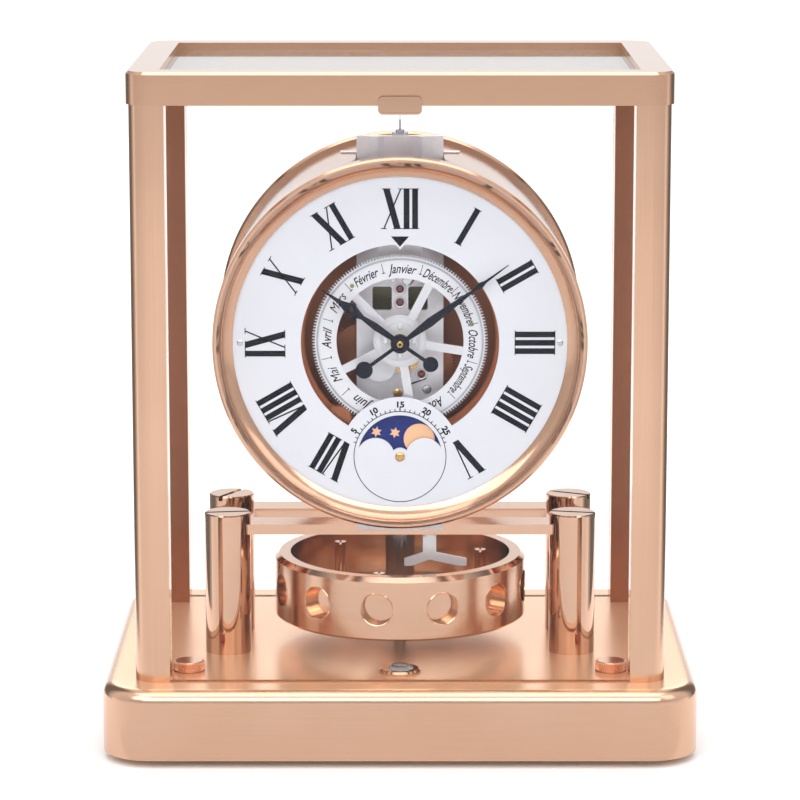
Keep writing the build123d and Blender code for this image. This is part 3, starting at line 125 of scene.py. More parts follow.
class Shader:
    """The node tree of one finish, or of the room's light, while it is being put together."""

    def __init__(self, name: str, room: bool = False) -> None:
        """Start an empty tree under the name of the finish or the room."""
        self.room = room
        self.owner = (bpy.data.worlds if room else bpy.data.materials).new(name)
        self.owner.use_nodes = True
        self.nodes = self.owner.node_tree.nodes
        self.links = self.owner.node_tree.links
        self.nodes.clear()

    def add(self, kind: str, inputs: dict[Any, Any] | None = None, **settings: Any) -> bpy.types.Node:
        """Add a node, set it and join what feeds it.

        Args:
            kind: Blender's name for the node without its prefix.
            inputs: sockets by name or number, with a value or a socket to join.
            settings: the node's own settings.

        Returns:
            The new node.
        """
        node = self.nodes.new("ShaderNode" + kind)
        for key, value in settings.items():
            setattr(node, key, value)
        for key, value in (inputs or {}).items():
            if isinstance(value, Socket):
                self.links.new(value, node.inputs[key])
            else:
                node.inputs[key].default_value = value
        return node

    def sum(self, operation: str, *values: Any) -> Socket:
        """Add a maths node on the given values and return what it gives."""
        return self.add("Math", dict(enumerate(values)), operation=operation).outputs[0]

    def length(self, first: Any, second: Any) -> Socket:
        """Add the nodes that give the length of two legs at a right angle."""
        return self.sum("SQRT", self.sum("ADD", self.sum("MULTIPLY", first, first),
                                         self.sum("MULTIPLY", second, second)))

    def blend(self, share: Any, first: Any, second: Any) -> Socket:
        """Add a colour mix and return its colour."""
        node = self.add("Mix", {0: share, 6: first, 7: second}, data_type="RGBA")
        return node.outputs[2]

    def spread(self, value: Any, low: float, high: float, to_low: Any = 0.0,
               to_high: Any = 1.0) -> Socket:
        """Add a node that carries one range onto another, held at both ends."""
        return self.add("MapRange", {0: value, 1: low, 2: high, 3: to_low, 4: to_high}).outputs[0]

    def split(self, source: Socket) -> bpy.types.NodeOutputs:
        """Add the node that parts a point or a direction into its three numbers."""
        return self.add("SeparateXYZ", {0: source}).outputs

    def ramp(self, value: Any, stops: Sequence[Point]) -> Socket:
        """Add an eased ramp of grey through the given stops.

        Args:
            value: what it is read by.
            stops: its places, each with its grey.

        Returns:
            The ramp's grey.
        """
        node = self.add("ValToRGB", {0: value})
        node.color_ramp.interpolation = "EASE"
        elements = node.color_ramp.elements
        while len(elements) < len(stops):
            elements.new(0.5)
        for element, (at, grey) in zip(elements, stops):
            element.position = at
            element.color = (grey, grey, grey, 1)
        return node.outputs[0]

    def place(self) -> tuple[Socket, Socket]:
        """Add the nodes that give the point on a piece, in millimetres, and the way it looks there."""
        coords = self.add("TexCoord").outputs
        return (self.add("VectorMath", {0: coords["Object"], 3: 1 / MM}, operation="SCALE").outputs[0],
                coords["Normal"])

    def metres(self) -> bpy.types.NodeOutputs:
        """Add the nodes that give the point on a piece as three numbers in metres."""
        return self.split(self.add("TexCoord").outputs["Object"])

    def close(self, body: bpy.types.Node) -> bpy.types.Material | bpy.types.World:
        """Join the last node to the output and return what the tree belongs to."""
        self.add("OutputWorld" if self.room else "OutputMaterial", {0: body.outputs[0]})
        return self.owner


@dataclass(frozen=True)
class Zone:
    """A second colour and gloss that the same finish has on some of its faces."""

    where: Where = Where.NOWHERE
    start: float = 0.0
    end: float = 1.0
    colour: Colour = (0.5, 0.5, 0.5)
    roughness: float = 0.1
    metallic: float = 1.0


@dataclass(frozen=True)
class Finish:
    """One finish of the clock, with what its fine marks look like."""

    name: str
    slot: str
    colour: Colour
    shade: Colour
    roughness: tuple[float, float]
    metallic: float = 1.0
    lie: Lie = Lie.EVEN
    lines: float = 1.2
    stretch: float = 1.0
    bump: float = 0.0
    mottle: float = 26.0
    coat: float = 0.0
    gloss: float = 0.5
    alpha: float = 1.0
    zone: Zone = field(default_factory=Zone)

    def lay(self, shader: Shader, place: Socket) -> Socket:
        """Return the point at which the fine marks are read, drawn out along the lie.

        Args:
            shader: the tree that is being put together.
            place: the point on the piece, in millimetres.

        Returns:
            The stretched point.
        """
        short, long = self.lines, self.lines / self.stretch
        if self.lie in (Lie.ROUND_DIAL, Lie.ROUND_RING):
            parts = shader.split(place)
            if self.lie is Lie.ROUND_DIAL:
                along, second = parts[1], shader.sum("SUBTRACT", parts[2], DIAL_UP)
            else:
                along, second = parts[2], parts[1]
            turn = shader.sum("ARCTAN2", parts[0], second)
            return shader.add("CombineXYZ", {
                0: shader.sum("MULTIPLY", shader.length(parts[0], second), short),
                1: shader.sum("MULTIPLY", along, short),
                2: shader.sum("MULTIPLY", turn, long * TURN_REACH)}).outputs[0]
        scale = {Lie.ACROSS: (long, short, short), Lie.UPRIGHT: (short, short, long)}
        return shader.add("Mapping", {"Vector": place, "Scale": scale.get(self.lie, (short,) * 3)}).outputs[0]

    def share_of_zone(self, shader: Shader, place: Socket,
                      looks: Socket) -> Socket:
        """Return how far a point belongs to the second zone, from 0 to 1.

        Args:
            shader: the tree that is being put together.
            place: the point on the piece, in millimetres.
            looks: the way the piece looks there.

        Returns:
            A socket with the share.
        """
        if self.zone.where is Where.DRUM_RADIUS:
            parts = shader.split(place)
            value = shader.length(parts[0], shader.sum("SUBTRACT", parts[2], DIAL_UP))
        elif self.zone.where is Where.FACING_UP:
            value = shader.sum("ABSOLUTE", shader.split(looks)[2])
        else:
            value = shader.sum("MULTIPLY", shader.split(looks)[1], -1.0)
        return shader.spread(value, self.zone.start, self.zone.end)

    @cache
    def material(self) -> bpy.types.Material:
        """Build the finish's material once and return it.

        Returns:
            The material, with its fine marks, its slow change of colour and its second zone.
        """
        shader = Shader(self.name)
        place, looks = shader.place()
        marks = shader.add("TexNoise", {"Vector": self.lay(shader, place), "Scale": 1.0, "Detail": 4.0,
                                        "Roughness": 0.62}).outputs[0]
        slow = shader.add("TexNoise", {"Vector": place, "Scale": 1 / self.mottle, "Detail": 2.0}).outputs[0]
        shares = shader.sum("ADD", shader.sum("MULTIPLY", marks, FINE_SHARE),
                            shader.sum("MULTIPLY", slow, 1 - FINE_SHARE))
        tone = shader.blend(shader.spread(shares, 0.35, 0.65), (*self.colour, 1), (*self.shade, 1))
        rough = shader.spread(marks, 0.3, 0.7, *self.roughness)
        metal: Any = self.metallic
        if self.zone.where is not Where.NOWHERE:
            share = self.share_of_zone(shader, place, looks)
            tone = shader.blend(share, tone, (*self.zone.colour, 1))
            rough = shader.add("Mix", {0: share, 2: rough, 3: self.zone.roughness}).outputs[0]
            if self.zone.metallic != self.metallic:
                metal = shader.add("Mix", {0: share, 2: self.metallic, 3: self.zone.metallic}).outputs[0]
        body = shader.add("BsdfPrincipled", {"Base Color": tone, "Roughness": rough, "Metallic": metal,
                                             "Alpha": self.alpha, "Specular IOR Level": self.gloss})
        if self.coat:
            body.inputs["Coat Weight"].default_value = self.coat
            body.inputs["Coat Roughness"].default_value = 0.04
        if self.bump:
            raised = shader.add("Bump", {"Height": marks, "Distance": self.bump * MM, "Strength": 1.0})
            shader.links.new(raised.outputs[0], body.inputs["Normal"])
        return shader.close(body)


@dataclass(frozen=True)
class ClearGlass:
    """Polished plate glass, nearly unseen face on and bright where it is seen at a slant.

    The power says how late it turns bright, and broad which way its broad faces look: 0 to a side, 1 to the
    front, 2 up.
    """

    name: str
    slot: str
    broad: int
    least: float = 0.012
    edge: float = 0.55
    power: float = 5.0

    @cache
    def material(self) -> bpy.types.Material:
        """Build the glass once and return it.

        Returns:
            The material, with its ground edges told from its broad faces by the way they look.
        """
        shader = Shader(self.name)
        place, looks = shader.place()
        ripple = shader.add("TexNoise", {"Vector": place, "Scale": 0.02, "Detail": 1.0}).outputs[0]
        tone = shader.blend(ripple, (0.93, 0.96, 0.95, 1), (0.97, 0.98, 0.98, 1))
        side = shader.spread(shader.sum("ABSOLUTE", shader.split(looks)[self.broad]), 0.5, 0.6, 1.0, 0.0)
        facing = shader.add("LayerWeight", {"Blend": 0.5}).outputs["Facing"]
        slant = shader.spread(shader.sum("POWER", facing, self.power), 0.0, 1.0, self.least, 0.9)
        shown = shader.add("Mix", {0: side, 2: slant, 3: self.edge}).outputs[0]
        body = shader.add("BsdfPrincipled", {"Base Color": tone, "Roughness": 0.03, "Metallic": 1.0,
                                             "Alpha": shown})
        return shader.close(body)


ROSE = paint(217, 177, 151)
ROSE_DEEP = paint(210, 168, 140)
ROSE_FINE = paint(213, 172, 145)
ROSE_LOW = paint(198, 154, 128)
SILVER = paint(236, 234, 239)
SILVER_DEEP = paint(214, 211, 217)

# On its faces that look up, the plinth is painted lighter as painted light from above, and is rougher and less
# metallic there.
PLINTH = Finish("rose_gold_plinth", "polished_gold", ROSE, ROSE_FINE, (0.18, 0.24), lie=Lie.ACROSS,
                lines=1.6, stretch=60, bump=0.0005,
                zone=Zone(Where.FACING_UP, 0.9, 0.99, paint(238, 191, 152), 0.26, 0.6))
POLISHED = Finish("polished_rose_gold", "polished_gold", ROSE, ROSE_FINE, (0.04, 0.08), mottle=14)
KNURLED = Finish("knurled_rose_gold", "polished_gold", paint(240, 178, 140), paint(226, 160, 122), (0.2, 0.3),
                 metallic=0.6, lines=2, zone=Zone(Where.FACING_UP, 0.5, 0.9, paint(238, 190, 160), 0.12))
BRIDGE = Finish("satin_rose_gold_bridge", "polished_gold", ROSE, ROSE_FINE, (0.10, 0.16), lie=Lie.ACROSS,
                lines=1.6, stretch=50)
BEZEL = Finish("polished_rose_gold_bezel", "polished_gold", ROSE_DEEP, paint(203, 160, 134), (0.12, 0.18),
               lie=Lie.ROUND_DIAL, stretch=40)
BRUSHED_UP = Finish("brushed_rose_gold_posts", "brushed_gold", ROSE, ROSE_FINE, (0.16, 0.22),
                    lie=Lie.UPRIGHT, lines=1.6, stretch=90, bump=0.0005)
# The rear posts are painted darker on the faces that look to the front: painted shade.
BRUSHED_REAR_SHADED = Finish("brushed_rose_gold_rear_posts_painted_shade", "brushed_gold", ROSE, ROSE_FINE, (0.16, 0.22),
                      lie=Lie.UPRIGHT, lines=1.6, stretch=90, bump=0.0005,
                      zone=Zone(Where.FACING_FRONT, 0.3, 0.8, paint(168, 118, 92), 0.2))
BRUSHED_OVER = Finish("brushed_rose_gold_lid", "brushed_gold", ROSE_FINE, ROSE_DEEP, (0.17, 0.24),
                      lie=Lie.ACROSS, lines=1.6, stretch=80, bump=0.0005,
                      zone=Zone(Where.FACING_UP, 0.3, 0.8, ROSE, 0.08))
# Inside a radius of about 61 mm the drum turns a rougher, less metallic copper brown; part of that darkness is
# painted shade on the inner faces.
DRUM = Finish("rose_gold_drum", "drum_gold", ROSE_DEEP, ROSE_LOW, (0.08, 0.14), lie=Lie.ROUND_DIAL,
              lines=1.4, stretch=50, zone=Zone(Where.DRUM_RADIUS, 61.4, 60.6, paint(200, 116, 76), 0.36, 0.35))
RING = Finish("brushed_balance_ring", "brushed_gold", ROSE, ROSE_DEEP, (0.15, 0.22), lie=Lie.ROUND_RING,
              lines=1.8, stretch=80, bump=0.0007, zone=Zone(Where.FACING_UP, 0.35, 0.8, ROSE, 0.07))
FROSTED = Finish("frosted_plates", "frosted_silver", SILVER, SILVER_DEEP, (0.34, 0.46), metallic=0.5,
                 lines=3.0, bump=0.010, mottle=8)
# A paler, less metallic copy of the frosted plates' finish: painted light that lifts the shade the dial casts
# on the fascia.
FASCIA_PAINTED_LIGHT = Finish("frosted_fascia_painted_light", "frosted_silver", paint(246, 245, 249), paint(228, 226, 232), (0.26, 0.36),
                metallic=0.25, lines=3.0, bump=0.006, mottle=8)
STEEL = Finish("bright_steel", "steel", paint(205, 205, 210), paint(190, 190, 197), (0.12, 0.20),
               lie=Lie.UPRIGHT, stretch=12)
# A near-white copy of the steel for the locking lever: painted light that makes it read as brightly lit steel.
LEVER_STEEL_PAINTED_LIGHT = Finish("lever_steel_painted_light", "steel", paint(244, 244, 247), paint(232, 232, 237), (0.18, 0.26),
                     metallic=0.35)
# Dark, purplish steel for the escape wheel and pallet lever: painted shade, tinted like the rubies, so that
# their pivots read dark in the jewel holes.
PIVOT_STEEL_SHADE = Finish("pivot_steel_painted_shade", "steel", paint(104, 84, 94), paint(88, 70, 80), (0.3, 0.4),
                    metallic=0.5)
SILVERED = Finish("silvered_wheel", "steel", paint(214, 213, 217), paint(204, 203, 208), (0.3, 0.4),
                  metallic=0.6, lines=0.8)
BRASS = Finish("turned_brass", "wheel_brass", paint(214, 178, 122), paint(196, 156, 104), (0.16, 0.26),
               metallic=0.85, lie=Lie.ROUND_DIAL, stretch=20)
COPPER = Finish("warm_copper_wheel", "wheel_brass", paint(158, 94, 62), paint(134, 78, 50), (0.26, 0.36),
                metallic=0.6, lie=Lie.ROUND_DIAL, stretch=20)
# Dull bronze: the month rivets' own colour, and painted shade on the back plate.
BRONZE_AND_SHADE = Finish("dull_bronze_and_painted_shade", "wheel_brass", paint(150, 146, 112), paint(132, 126, 96), (0.3, 0.4),
                metallic=0.6)
BELLOWS = Finish("bellows_metal", "bellows_metal", paint(206, 186, 150), paint(186, 164, 126), (0.2, 0.32),
                 lie=Lie.ROUND_DIAL, stretch=12)
LENS = Finish("level_glass", "glass", paint(226, 232, 226), paint(206, 216, 210), (0.02, 0.05), metallic=0.0,
              alpha=0.35, coat=0.6)
LACQUER = Finish("white_dial_lacquer", "dial_white", paint(212, 214, 222), paint(208, 211, 220), (0.30, 0.38),
                 metallic=0.0, lines=4.0, bump=0.004, coat=0.15)
RING_WHITE = Finish("white_month_band", "ring_white", paint(217, 217, 223), paint(209, 210, 218), (0.32, 0.42),
                    metallic=0.0, lines=4.0, bump=0.003)
RING_METAL = Finish("silvered_month_ring", "ring_white", paint(218, 218, 224), paint(204, 205, 212),
                    (0.30, 0.42), metallic=0.5, lines=3.0, bump=0.004)
INK = Finish("printed_black", "blued", paint(14, 16, 24), paint(22, 24, 34), (0.32, 0.45), metallic=0.0,
             lines=5.0, gloss=0.05)
GREY_INK = Finish("printed_grey", "blued", paint(150, 153, 160), paint(168, 171, 178), (0.35, 0.5),
                  metallic=0.0)
BLUED = Finish("blued_hands", "blued", paint(15, 17, 28), paint(24, 27, 44), (0.2, 0.3), metallic=0.3,
               lines=3.0, coat=0.05, gloss=0.12)
NIGHT = Finish("moon_disc_blue", "moon_blue", paint(24, 44, 122), paint(18, 34, 102), (0.34, 0.5),
               metallic=0.1, lines=5.0, bump=0.006, gloss=0.2)
MOONS = Finish("rose_gold_moons", "polished_gold", paint(236, 189, 150), paint(228, 178, 138), (0.3, 0.42),
               metallic=0.25, lines=4.0)
RUBY = Finish("ruby_jewel", "ruby", paint(122, 20, 62), paint(86, 8, 40), (0.16, 0.24), metallic=0.0,
              lines=3.0, coat=0.1)
RUBBER = Finish("rubber_pad", "rubber", paint(34, 33, 33), paint(46, 45, 45), (0.6, 0.75), metallic=0.0,
                lines=2.5, bump=0.02)
WINDOW_PANE = ClearGlass("clear_front_pane", "glass", 1)
SIDE_PANE = ClearGlass("clear_side_pane", "glass", 0)
LID_PANE = ClearGlass("clear_lid_pane", "glass", 2, power=2.5)


def make_object(name: str, mesh: Mesh, crease: float = 35.0) -> bpy.types.Object:
    """Put a mesh in the scene, smooth except across its sharp edges.

    Args:
        name: the piece's name.
        mesh: its mesh, in place and in metres.
        crease: the angle in degrees from which an edge stays sharp.

    Returns:
        The new object.
    """
    mesh.name = name
    mesh.shade_smooth()
    mesh.set_sharp_from_angle(angle=math.radians(crease))
    piece = bpy.data.objects.new(name, mesh)
    bpy.context.scene.collection.objects.link(piece)
    return piece


def finished(work: bmesh.types.BMesh) -> Mesh:
    """Turn a mesh that is being built into a kept one."""
    mesh = bpy.data.meshes.new("built")
    work.to_mesh(mesh)
    work.free()
    return mesh


def mesh_of(data: bpy.types.Curve) -> Mesh:
    """Turn a curve or a text into a welded mesh of its own.

    Args:
        data: the curve or text, in millimetres.

    Returns:
        The mesh, in millimetres.
    """
    holder = bpy.data.objects.new("outline", data)
    bpy.context.scene.collection.objects.link(holder)
    shown = holder.evaluated_get(bpy.context.evaluated_depsgraph_get())
    mesh = bpy.data.meshes.new_from_object(shown)
    bpy.data.objects.remove(holder)
    bpy.data.curves.remove(data)
    work = bmesh.new()
    work.from_mesh(mesh)
    bpy.data.meshes.remove(mesh)
    bmesh.ops.remove_doubles(work, verts=work.verts, dist=0.0005)
    return finished(work)


def draw(data: bpy.types.Curve, spots: Sequence[Spot]) -> None:
    """Draw a closed line through the given spots."""
    spline = data.splines.new("POLY")
    spline.points.add(len(spots) - 1)
    for point, spot in zip(spline.points, spots):
        point.co = (*spot, 1)
    spline.use_cyclic_u = True


def flat_mesh(loops: Sequence[Loop], thick: float, ease: float = 0.0) -> Mesh:
    """Cut a sheet with holes to its outlines.

    Args:
        loops: closed outlines; one inside another is a hole.
        thick: the sheet's thickness.
        ease: how much its edges are eased.

    Returns:
        The mesh in millimetres, lying flat with its middle at height 0.
    """
    data = bpy.data.curves.new("sheet", "CURVE")
    data.dimensions = "2D"
    data.fill_mode = "BOTH"
    data.extrude = thick / 2 - ease
    data.bevel_depth = ease
    data.bevel_resolution = 1
    data.offset = -ease
    for loop in loops:
        draw(data, [(across, up, 0) for across, up in loop])
    return mesh_of(data)


def to_front(face: float, centre: Point) -> Matrix:
    """Return what turns a flat piece in millimetres to the front and sets its middle at a face, in metres."""
    place = Matrix.Translation((centre[0], face, DIAL_UP + centre[1]))
    return Matrix.Scale(MM, 4) @ place @ Matrix.Rotation(math.pi / 2, 4, "X")


def set_down(mesh: Mesh, facing: Facing, face: float, thick: float, centre: Point = (0.0, 0.0)) -> Mesh:
    """Move a flat mesh to its place on the clock, in metres.

    Args:
        mesh: a flat mesh in millimetres.
        facing: whether it looks to the front or up.
        face: the depth or height of the face that shows.
        thick: the sheet's thickness.
        centre: where its own middle goes; for a front piece, across and up from the dial's centre.

    Returns:
        The same mesh.
    """
    if facing is Facing.FRONT:
        mesh.transform(to_front(face + thick / 2, centre))
    else:
        mesh.transform(Matrix.Scale(MM, 4) @ Matrix.Translation((centre[0], centre[1], face - thick / 2)))
    return mesh


def lay_print(name: str, meshes: Sequence[Mesh], face: float, thick: float, body: str, finish: Finish,
              centre: Point = (0.0, 0.0)) -> None:
    """Lay flat meshes on a face as one print.

    Args:
        name: the print's name.
        meshes: flat meshes in millimetres.
        face: depth of the print's own face.
        thick: its thickness.
        body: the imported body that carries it.
        finish: what it is printed in.
        centre: where its middle lies.
    """
    fit(name, set_down(join(meshes), Facing.FRONT, face, thick, centre), body, finish)


def join(meshes: Sequence[Mesh]) -> Mesh:
    """Gather several meshes into one and return it."""
    work = bmesh.new()
    for mesh in meshes:
        work.from_mesh(mesh)
        bpy.data.meshes.remove(mesh)
    return finished(work)


def turned_mesh(profile: Loop, about: Facing, centre: Point = (0.0, 0.0), steps: int = 64,
                closed: bool = False) -> Mesh:
    """Turn a profile about an axis.

    Args:
        profile: points of radius and depth (or height); an open one starts on the axis.
        about: the axis.
        centre: where the axis is; for the dial axis, across and up from the dial's centre.
        steps: how many flats make the round.
        closed: whether the profile joins up, as for a ring.

    Returns:
        The mesh in place, in metres.
    """
    work = bmesh.new()
    rows = []
    for radius, along in profile:
        spots = circle(radius, centre, steps) if radius else [centre]
        if about is Facing.FRONT:
            spots = [(side, along, DIAL_UP + up) for side, up in spots]
        else:
            spots = [(side, up, along) for side, up in spots]
        rows.append([work.verts.new(Vector(spot) * MM) for spot in spots])
    pairs = list(zip(rows, rows[1:])) + ([(rows[-1], rows[0])] if closed else [])
    for first, second in pairs:
        for step in range(steps):
            after = (step + 1) % steps
            ring = [first[step % len(first)], first[after % len(first)],
                    second[after % len(second)], second[step % len(second)]]
            work.faces.new(list(dict.fromkeys(ring)))
    bmesh.ops.recalc_face_normals(work, faces=work.faces)
    return finished(work)


def stud(face: float, profile: Loop, centre: Point = (0.0, 0.0), steps: int = 48,
         closed: bool = False) -> Mesh:
    """Turn a small round piece that stands on a face and looks to the front.

    Args:
        face: depth of the face it stands on.
        profile: points of radius and height above that face.
        centre: where it stands.
        steps: how many flats make the round.
        closed: whether the profile joins up, as for a ring.

    Returns:
        The mesh in place, in metres.
    """
    outline = [(radius, face - rise) for radius, rise in profile]
    return turned_mesh(outline, Facing.FRONT, centre, steps, closed)


def circle(radius: float, centre: Point = (0.0, 0.0), steps: int = 96) -> Loop:
    """Return a closed round outline."""
    return [(centre[0] + radius * math.cos(2 * math.pi * i / steps),
             centre[1] + radius * math.sin(2 * math.pi * i / steps)) for i in range(steps)]


def clockwise(degrees: float, radius: float) -> Point:
    """Return a point by its angle from the top of the dial and its distance from the centre."""
    angle = math.radians(degrees)
    return radius * math.sin(angle), radius * math.cos(angle)


def lettering(text: str, height: float, squeeze: float, slant: float, weight: float, thick: float,
              wide: float = 0.0) -> Mesh:
    """Set a word or a number as a flat mesh about its own middle.

    Args:
        text: what it says.
        height: size of the letters.
        squeeze: how narrow they are set.
        slant: how far they lean.
        weight: how much their strokes are thickened.
        thick: how proud they stand.
        wide: how wide the whole word is set, where it is given.

    Returns:
        The mesh in millimetres.
    """
    data = bpy.data.curves.new("word", "FONT")
    data.body = text
    data.size = height
    data.shear = slant
    data.offset = weight
    data.extrude = thick / 2
    data.align_x = "CENTER"
    data.align_y = "CENTER"
    data.resolution_u = 3
    mesh = mesh_of(data)
    if wide:
        sides = [vertex.co.x for vertex in mesh.vertices]
        squeeze = wide / (max(sides) - min(sides))
    mesh.transform(Matrix.Diagonal((squeeze, 1, 1, 1)))
    return mesh


def carry(mesh: Mesh, radius: float, degrees: float, bend: bool = False) -> Mesh:
    """Carry a flat mesh out to its place round a centre, its top outward.

    Args:
        mesh: the mesh in millimetres.
        radius: how far out its middle goes.
        degrees: the clockwise angle it stands at.
        bend: whether its line follows the circle.

    Returns:
        The same mesh.
    """
    for vertex in mesh.vertices:
        side, up, proud = vertex.co
        if bend:
            across, rise = clockwise(degrees + math.degrees(side / radius), radius + up)
        else:
            out, turn = clockwise(degrees, radius + up), math.radians(degrees)
            across, rise = out[0] + side * math.cos(turn), out[1] - side * math.sin(turn)
        vertex.co = (across, rise, proud)
    return mesh


def screw_head(radius: float, face: float, high: float, slot_turn: float, centre: Point) -> Mesh:
    """Make a low slotted screw head that stands on a face and looks to the front.

    Args:
        radius: the head's radius.
        face: depth of the face it stands on.
        high: how high it stands.
        slot_turn: which way its slot lies, in degrees.
        centre: where it is.

    Returns:
        The mesh in place, in metres.
    """
    half, reach, steps = radius * 0.13, radius * 0.97, 40
    work = bmesh.new()
    for side in (0.0, math.pi):
        rows = []
        for size, rise in ((radius, 0.0), (radius, high * 0.7), (radius * 0.86, high)):
            bend = math.asin(half / size)
            angles = [side + bend + (math.pi - 2 * bend) * i / steps for i in range(steps + 1)]
            rows.append([work.verts.new((size * math.cos(a), size * math.sin(a), rise)) for a in angles])
        for low, upper in zip(rows, rows[1:]):
            for i in range(steps):
                work.faces.new((low[i], low[i + 1], upper[i + 1], upper[i]))
        work.faces.new(rows[2])
        work.faces.new([row[0] for row in rows] + [row[-1] for row in reversed(rows)])
    corners = ((-reach, -half), (reach, -half), (reach, half), (-reach, half))
    work.faces.new([work.verts.new((*corner, high * 0.45)) for corner in corners])
    bmesh.ops.recalc_face_normals(work, faces=work.faces)
    mesh = finished(work)
    mesh.transform(to_front(face, centre) @ Matrix.Rotation(math.radians(slot_turn), 4, "Z"))
    return mesh


def fit(name: str, mesh: Mesh, body: str, finish: Finish, crease: float = 35.0) -> None:
    """Add a piece, dress it, let it ride on its body and report it.

    Args:
        name: the piece's name.
        mesh: its mesh, in place and in metres.
        body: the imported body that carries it.
        finish: its finish.
        crease: the angle in degrees from which an edge stays sharp.
    """
    piece = make_object(name, mesh, crease)
    piece.data.materials.append(finish.material())
    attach(piece, body)
    log.info("%s rides on %s", piece.name, body)


def dress(nodes: Nodes, finish: Finish | ClearGlass, *names: str) -> None:
    """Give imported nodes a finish.

    Args:
        nodes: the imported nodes.
        finish: the finish.
        names: which nodes get it.
    """
    for name in names:
        slots = nodes[name].material_slots
        if not slots:
            nodes[name].data.materials.append(finish.material())
        for slot in slots:
            slot.material = finish.material()
        log.info("%s wears %s", name, finish.name)


@dataclass
class Studio:
    """Floor, light and camera, none of which is part of the clock."""

    floor_rings: tuple[float, ...] = (0.0, 0.25, 0.6, 1.5, 4.0, 12.0)
    pale_from: float = -0.13
    pale_at: float = 0.02
    pale_glow: float = 0.08
    camera_place: Spot = (0.0, -1.2171, 0.3361)
    camera_drop: float = 10.474
    lens: float = 159.8
    flag_across: float = 0.23
    flag_front: float = -0.035
    flag_deep: float = 0.42
    flag_high: float = 0.42
    flag_light: Point = (0.95, 0.2)
    flag_fades: Spot = (0.06, 0.2, 0.15)
    card_full: float = 0.09
    card_half: float = 0.14
    card_fade: float = 0.035
    card_near: float = -0.078
    card_far: float = -0.20
    card_lift: float = 0.0004
    lit_spot: Spot = (0.0, 0.0, 0.12)
    boxes: tuple[tuple[str, Spot, Point, float], ...] = (
        ("key_box", (-0.9, -1.4, 1.3), (1.1, 0.9), 7.5), ("fill_box", (1.3, -0.9, 1.2), (0.8, 1.1), 3.2),
        ("front_box", (0.1, -1.8, 1.15), (1.8, 0.8), 15.0), ("top_box", (0.0, -0.45, 1.75), (1.7, 1.1), 10.0),
        ("rear_box", (0.2, 1.9, 1.1), (2.0, 0.8), 8.0))

    def build(self, floor_up: float) -> None:
        """Set up the whole studio on a floor at the given height, in metres."""
        self.lay_floor(floor_up)
        self.lay_card(floor_up)
        self.light_sky()
        self.hang_lights()
        self.stand_flags()
        self.set_camera()

    def matt(self, shader: Shader, tone: Socket, glow: Any = 0.0) -> bpy.types.Material:
        """Close a tree with a matt body of the given tone and glow."""
        return shader.close(shader.add("BsdfPrincipled", {
            "Base Color": tone, "Roughness": 0.7, "Specular IOR Level": 0.2,
            "Emission Color": (1, 1, 1, 1), "Emission Strength": glow}))

    def lay_floor(self, up: float) -> None:
        """Lay a wide round floor, grey in front of the clock as painted shade, which the polished metal also
        mirrors, and pale behind it with a small painted glow.

        Args:
            up: its height in metres.
        """
        profile = [(reach / MM, up / MM) for reach in self.floor_rings]
        floor = make_object("studio_floor", turned_mesh(profile, Facing.UP))
        shader = Shader("floor_painted_shade_and_glow")
        grain = shader.add("TexNoise", {"Scale": 900.0, "Detail": 2.0,
                                        "Vector": shader.add("TexCoord").outputs["Object"]}).outputs[0]
        # Painted shade in front of the clock; pale tone and a painted glow behind it.
        behind = shader.spread(shader.metres()[1], self.pale_from, self.pale_at)
        tone = shader.blend(behind, shader.blend(grain, *FLOOR_SHADE_TONES), FLOOR_BEHIND)
        floor.data.materials.append(self.matt(shader, tone, shader.sum("MULTIPLY", behind, self.pale_glow)))
        floor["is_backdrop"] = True

    def stand_for_mirrors(self, name: str, corners: Sequence[Spot], material: bpy.types.Material) -> None:
        """Stand a sheet that only the polished metal sees.

        Args:
            name: the sheet's name.
            corners: its four corners in metres.
            material: what it is made of.
        """
        work = bmesh.new()
        work.faces.new([work.verts.new(corner) for corner in corners])
        sheet = make_object(name, finished(work))
        sheet.data.materials.append(material)
        sheet.visible_camera = False
        sheet.visible_diffuse = False
        sheet.visible_shadow = False
        sheet.visible_transmission = False
        sheet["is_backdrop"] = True

    def lay_card(self, up: float) -> None:
        """Lay a card on the floor before the base, for the polished metal to mirror.

        Args:
            up: the floor's height in metres.
        """
        shader = Shader("front_card")
        parts = shader.metres()
        side = shader.spread(shader.sum("ABSOLUTE", parts[0]), self.card_full, self.card_half, 1.0, 0.0)
        away = shader.spread(parts[1], self.card_far, self.card_far + self.card_fade)
        tone = shader.blend(shader.sum("MULTIPLY", side, away), *CARD_TONES)
        half, far, near, lift = self.card_half, self.card_far, self.card_near, up + self.card_lift
        self.stand_for_mirrors("front_card", ((-half, far, lift), (half, far, lift), (half, near, lift),
                                              (-half, near, lift)), self.matt(shader, tone))

    def light_sky(self) -> None:
        """Light the room from all round, fully overhead and behind the clock, less low behind the camera."""
        sky = Shader("soft_room", room=True)
        parts = sky.split(sky.add("TexCoord").outputs["Generated"])
        level = sky.ramp(sky.spread(parts[1], -1.0, 1.0), ((0.0, 0.6), (0.35, 0.85), (0.6, 1.0), (1.0, 1.0)))
        above = sky.ramp(parts[2], ((0.0, 0.0), (0.35, 0.0), (0.7, 1.0), (1.0, 1.0)))
        bpy.context.scene.world = sky.close(sky.add("Background", {
            "Color": (1.0, 1.0, 1.005, 1), "Strength": sky.sum("MAXIMUM", level, above)}))

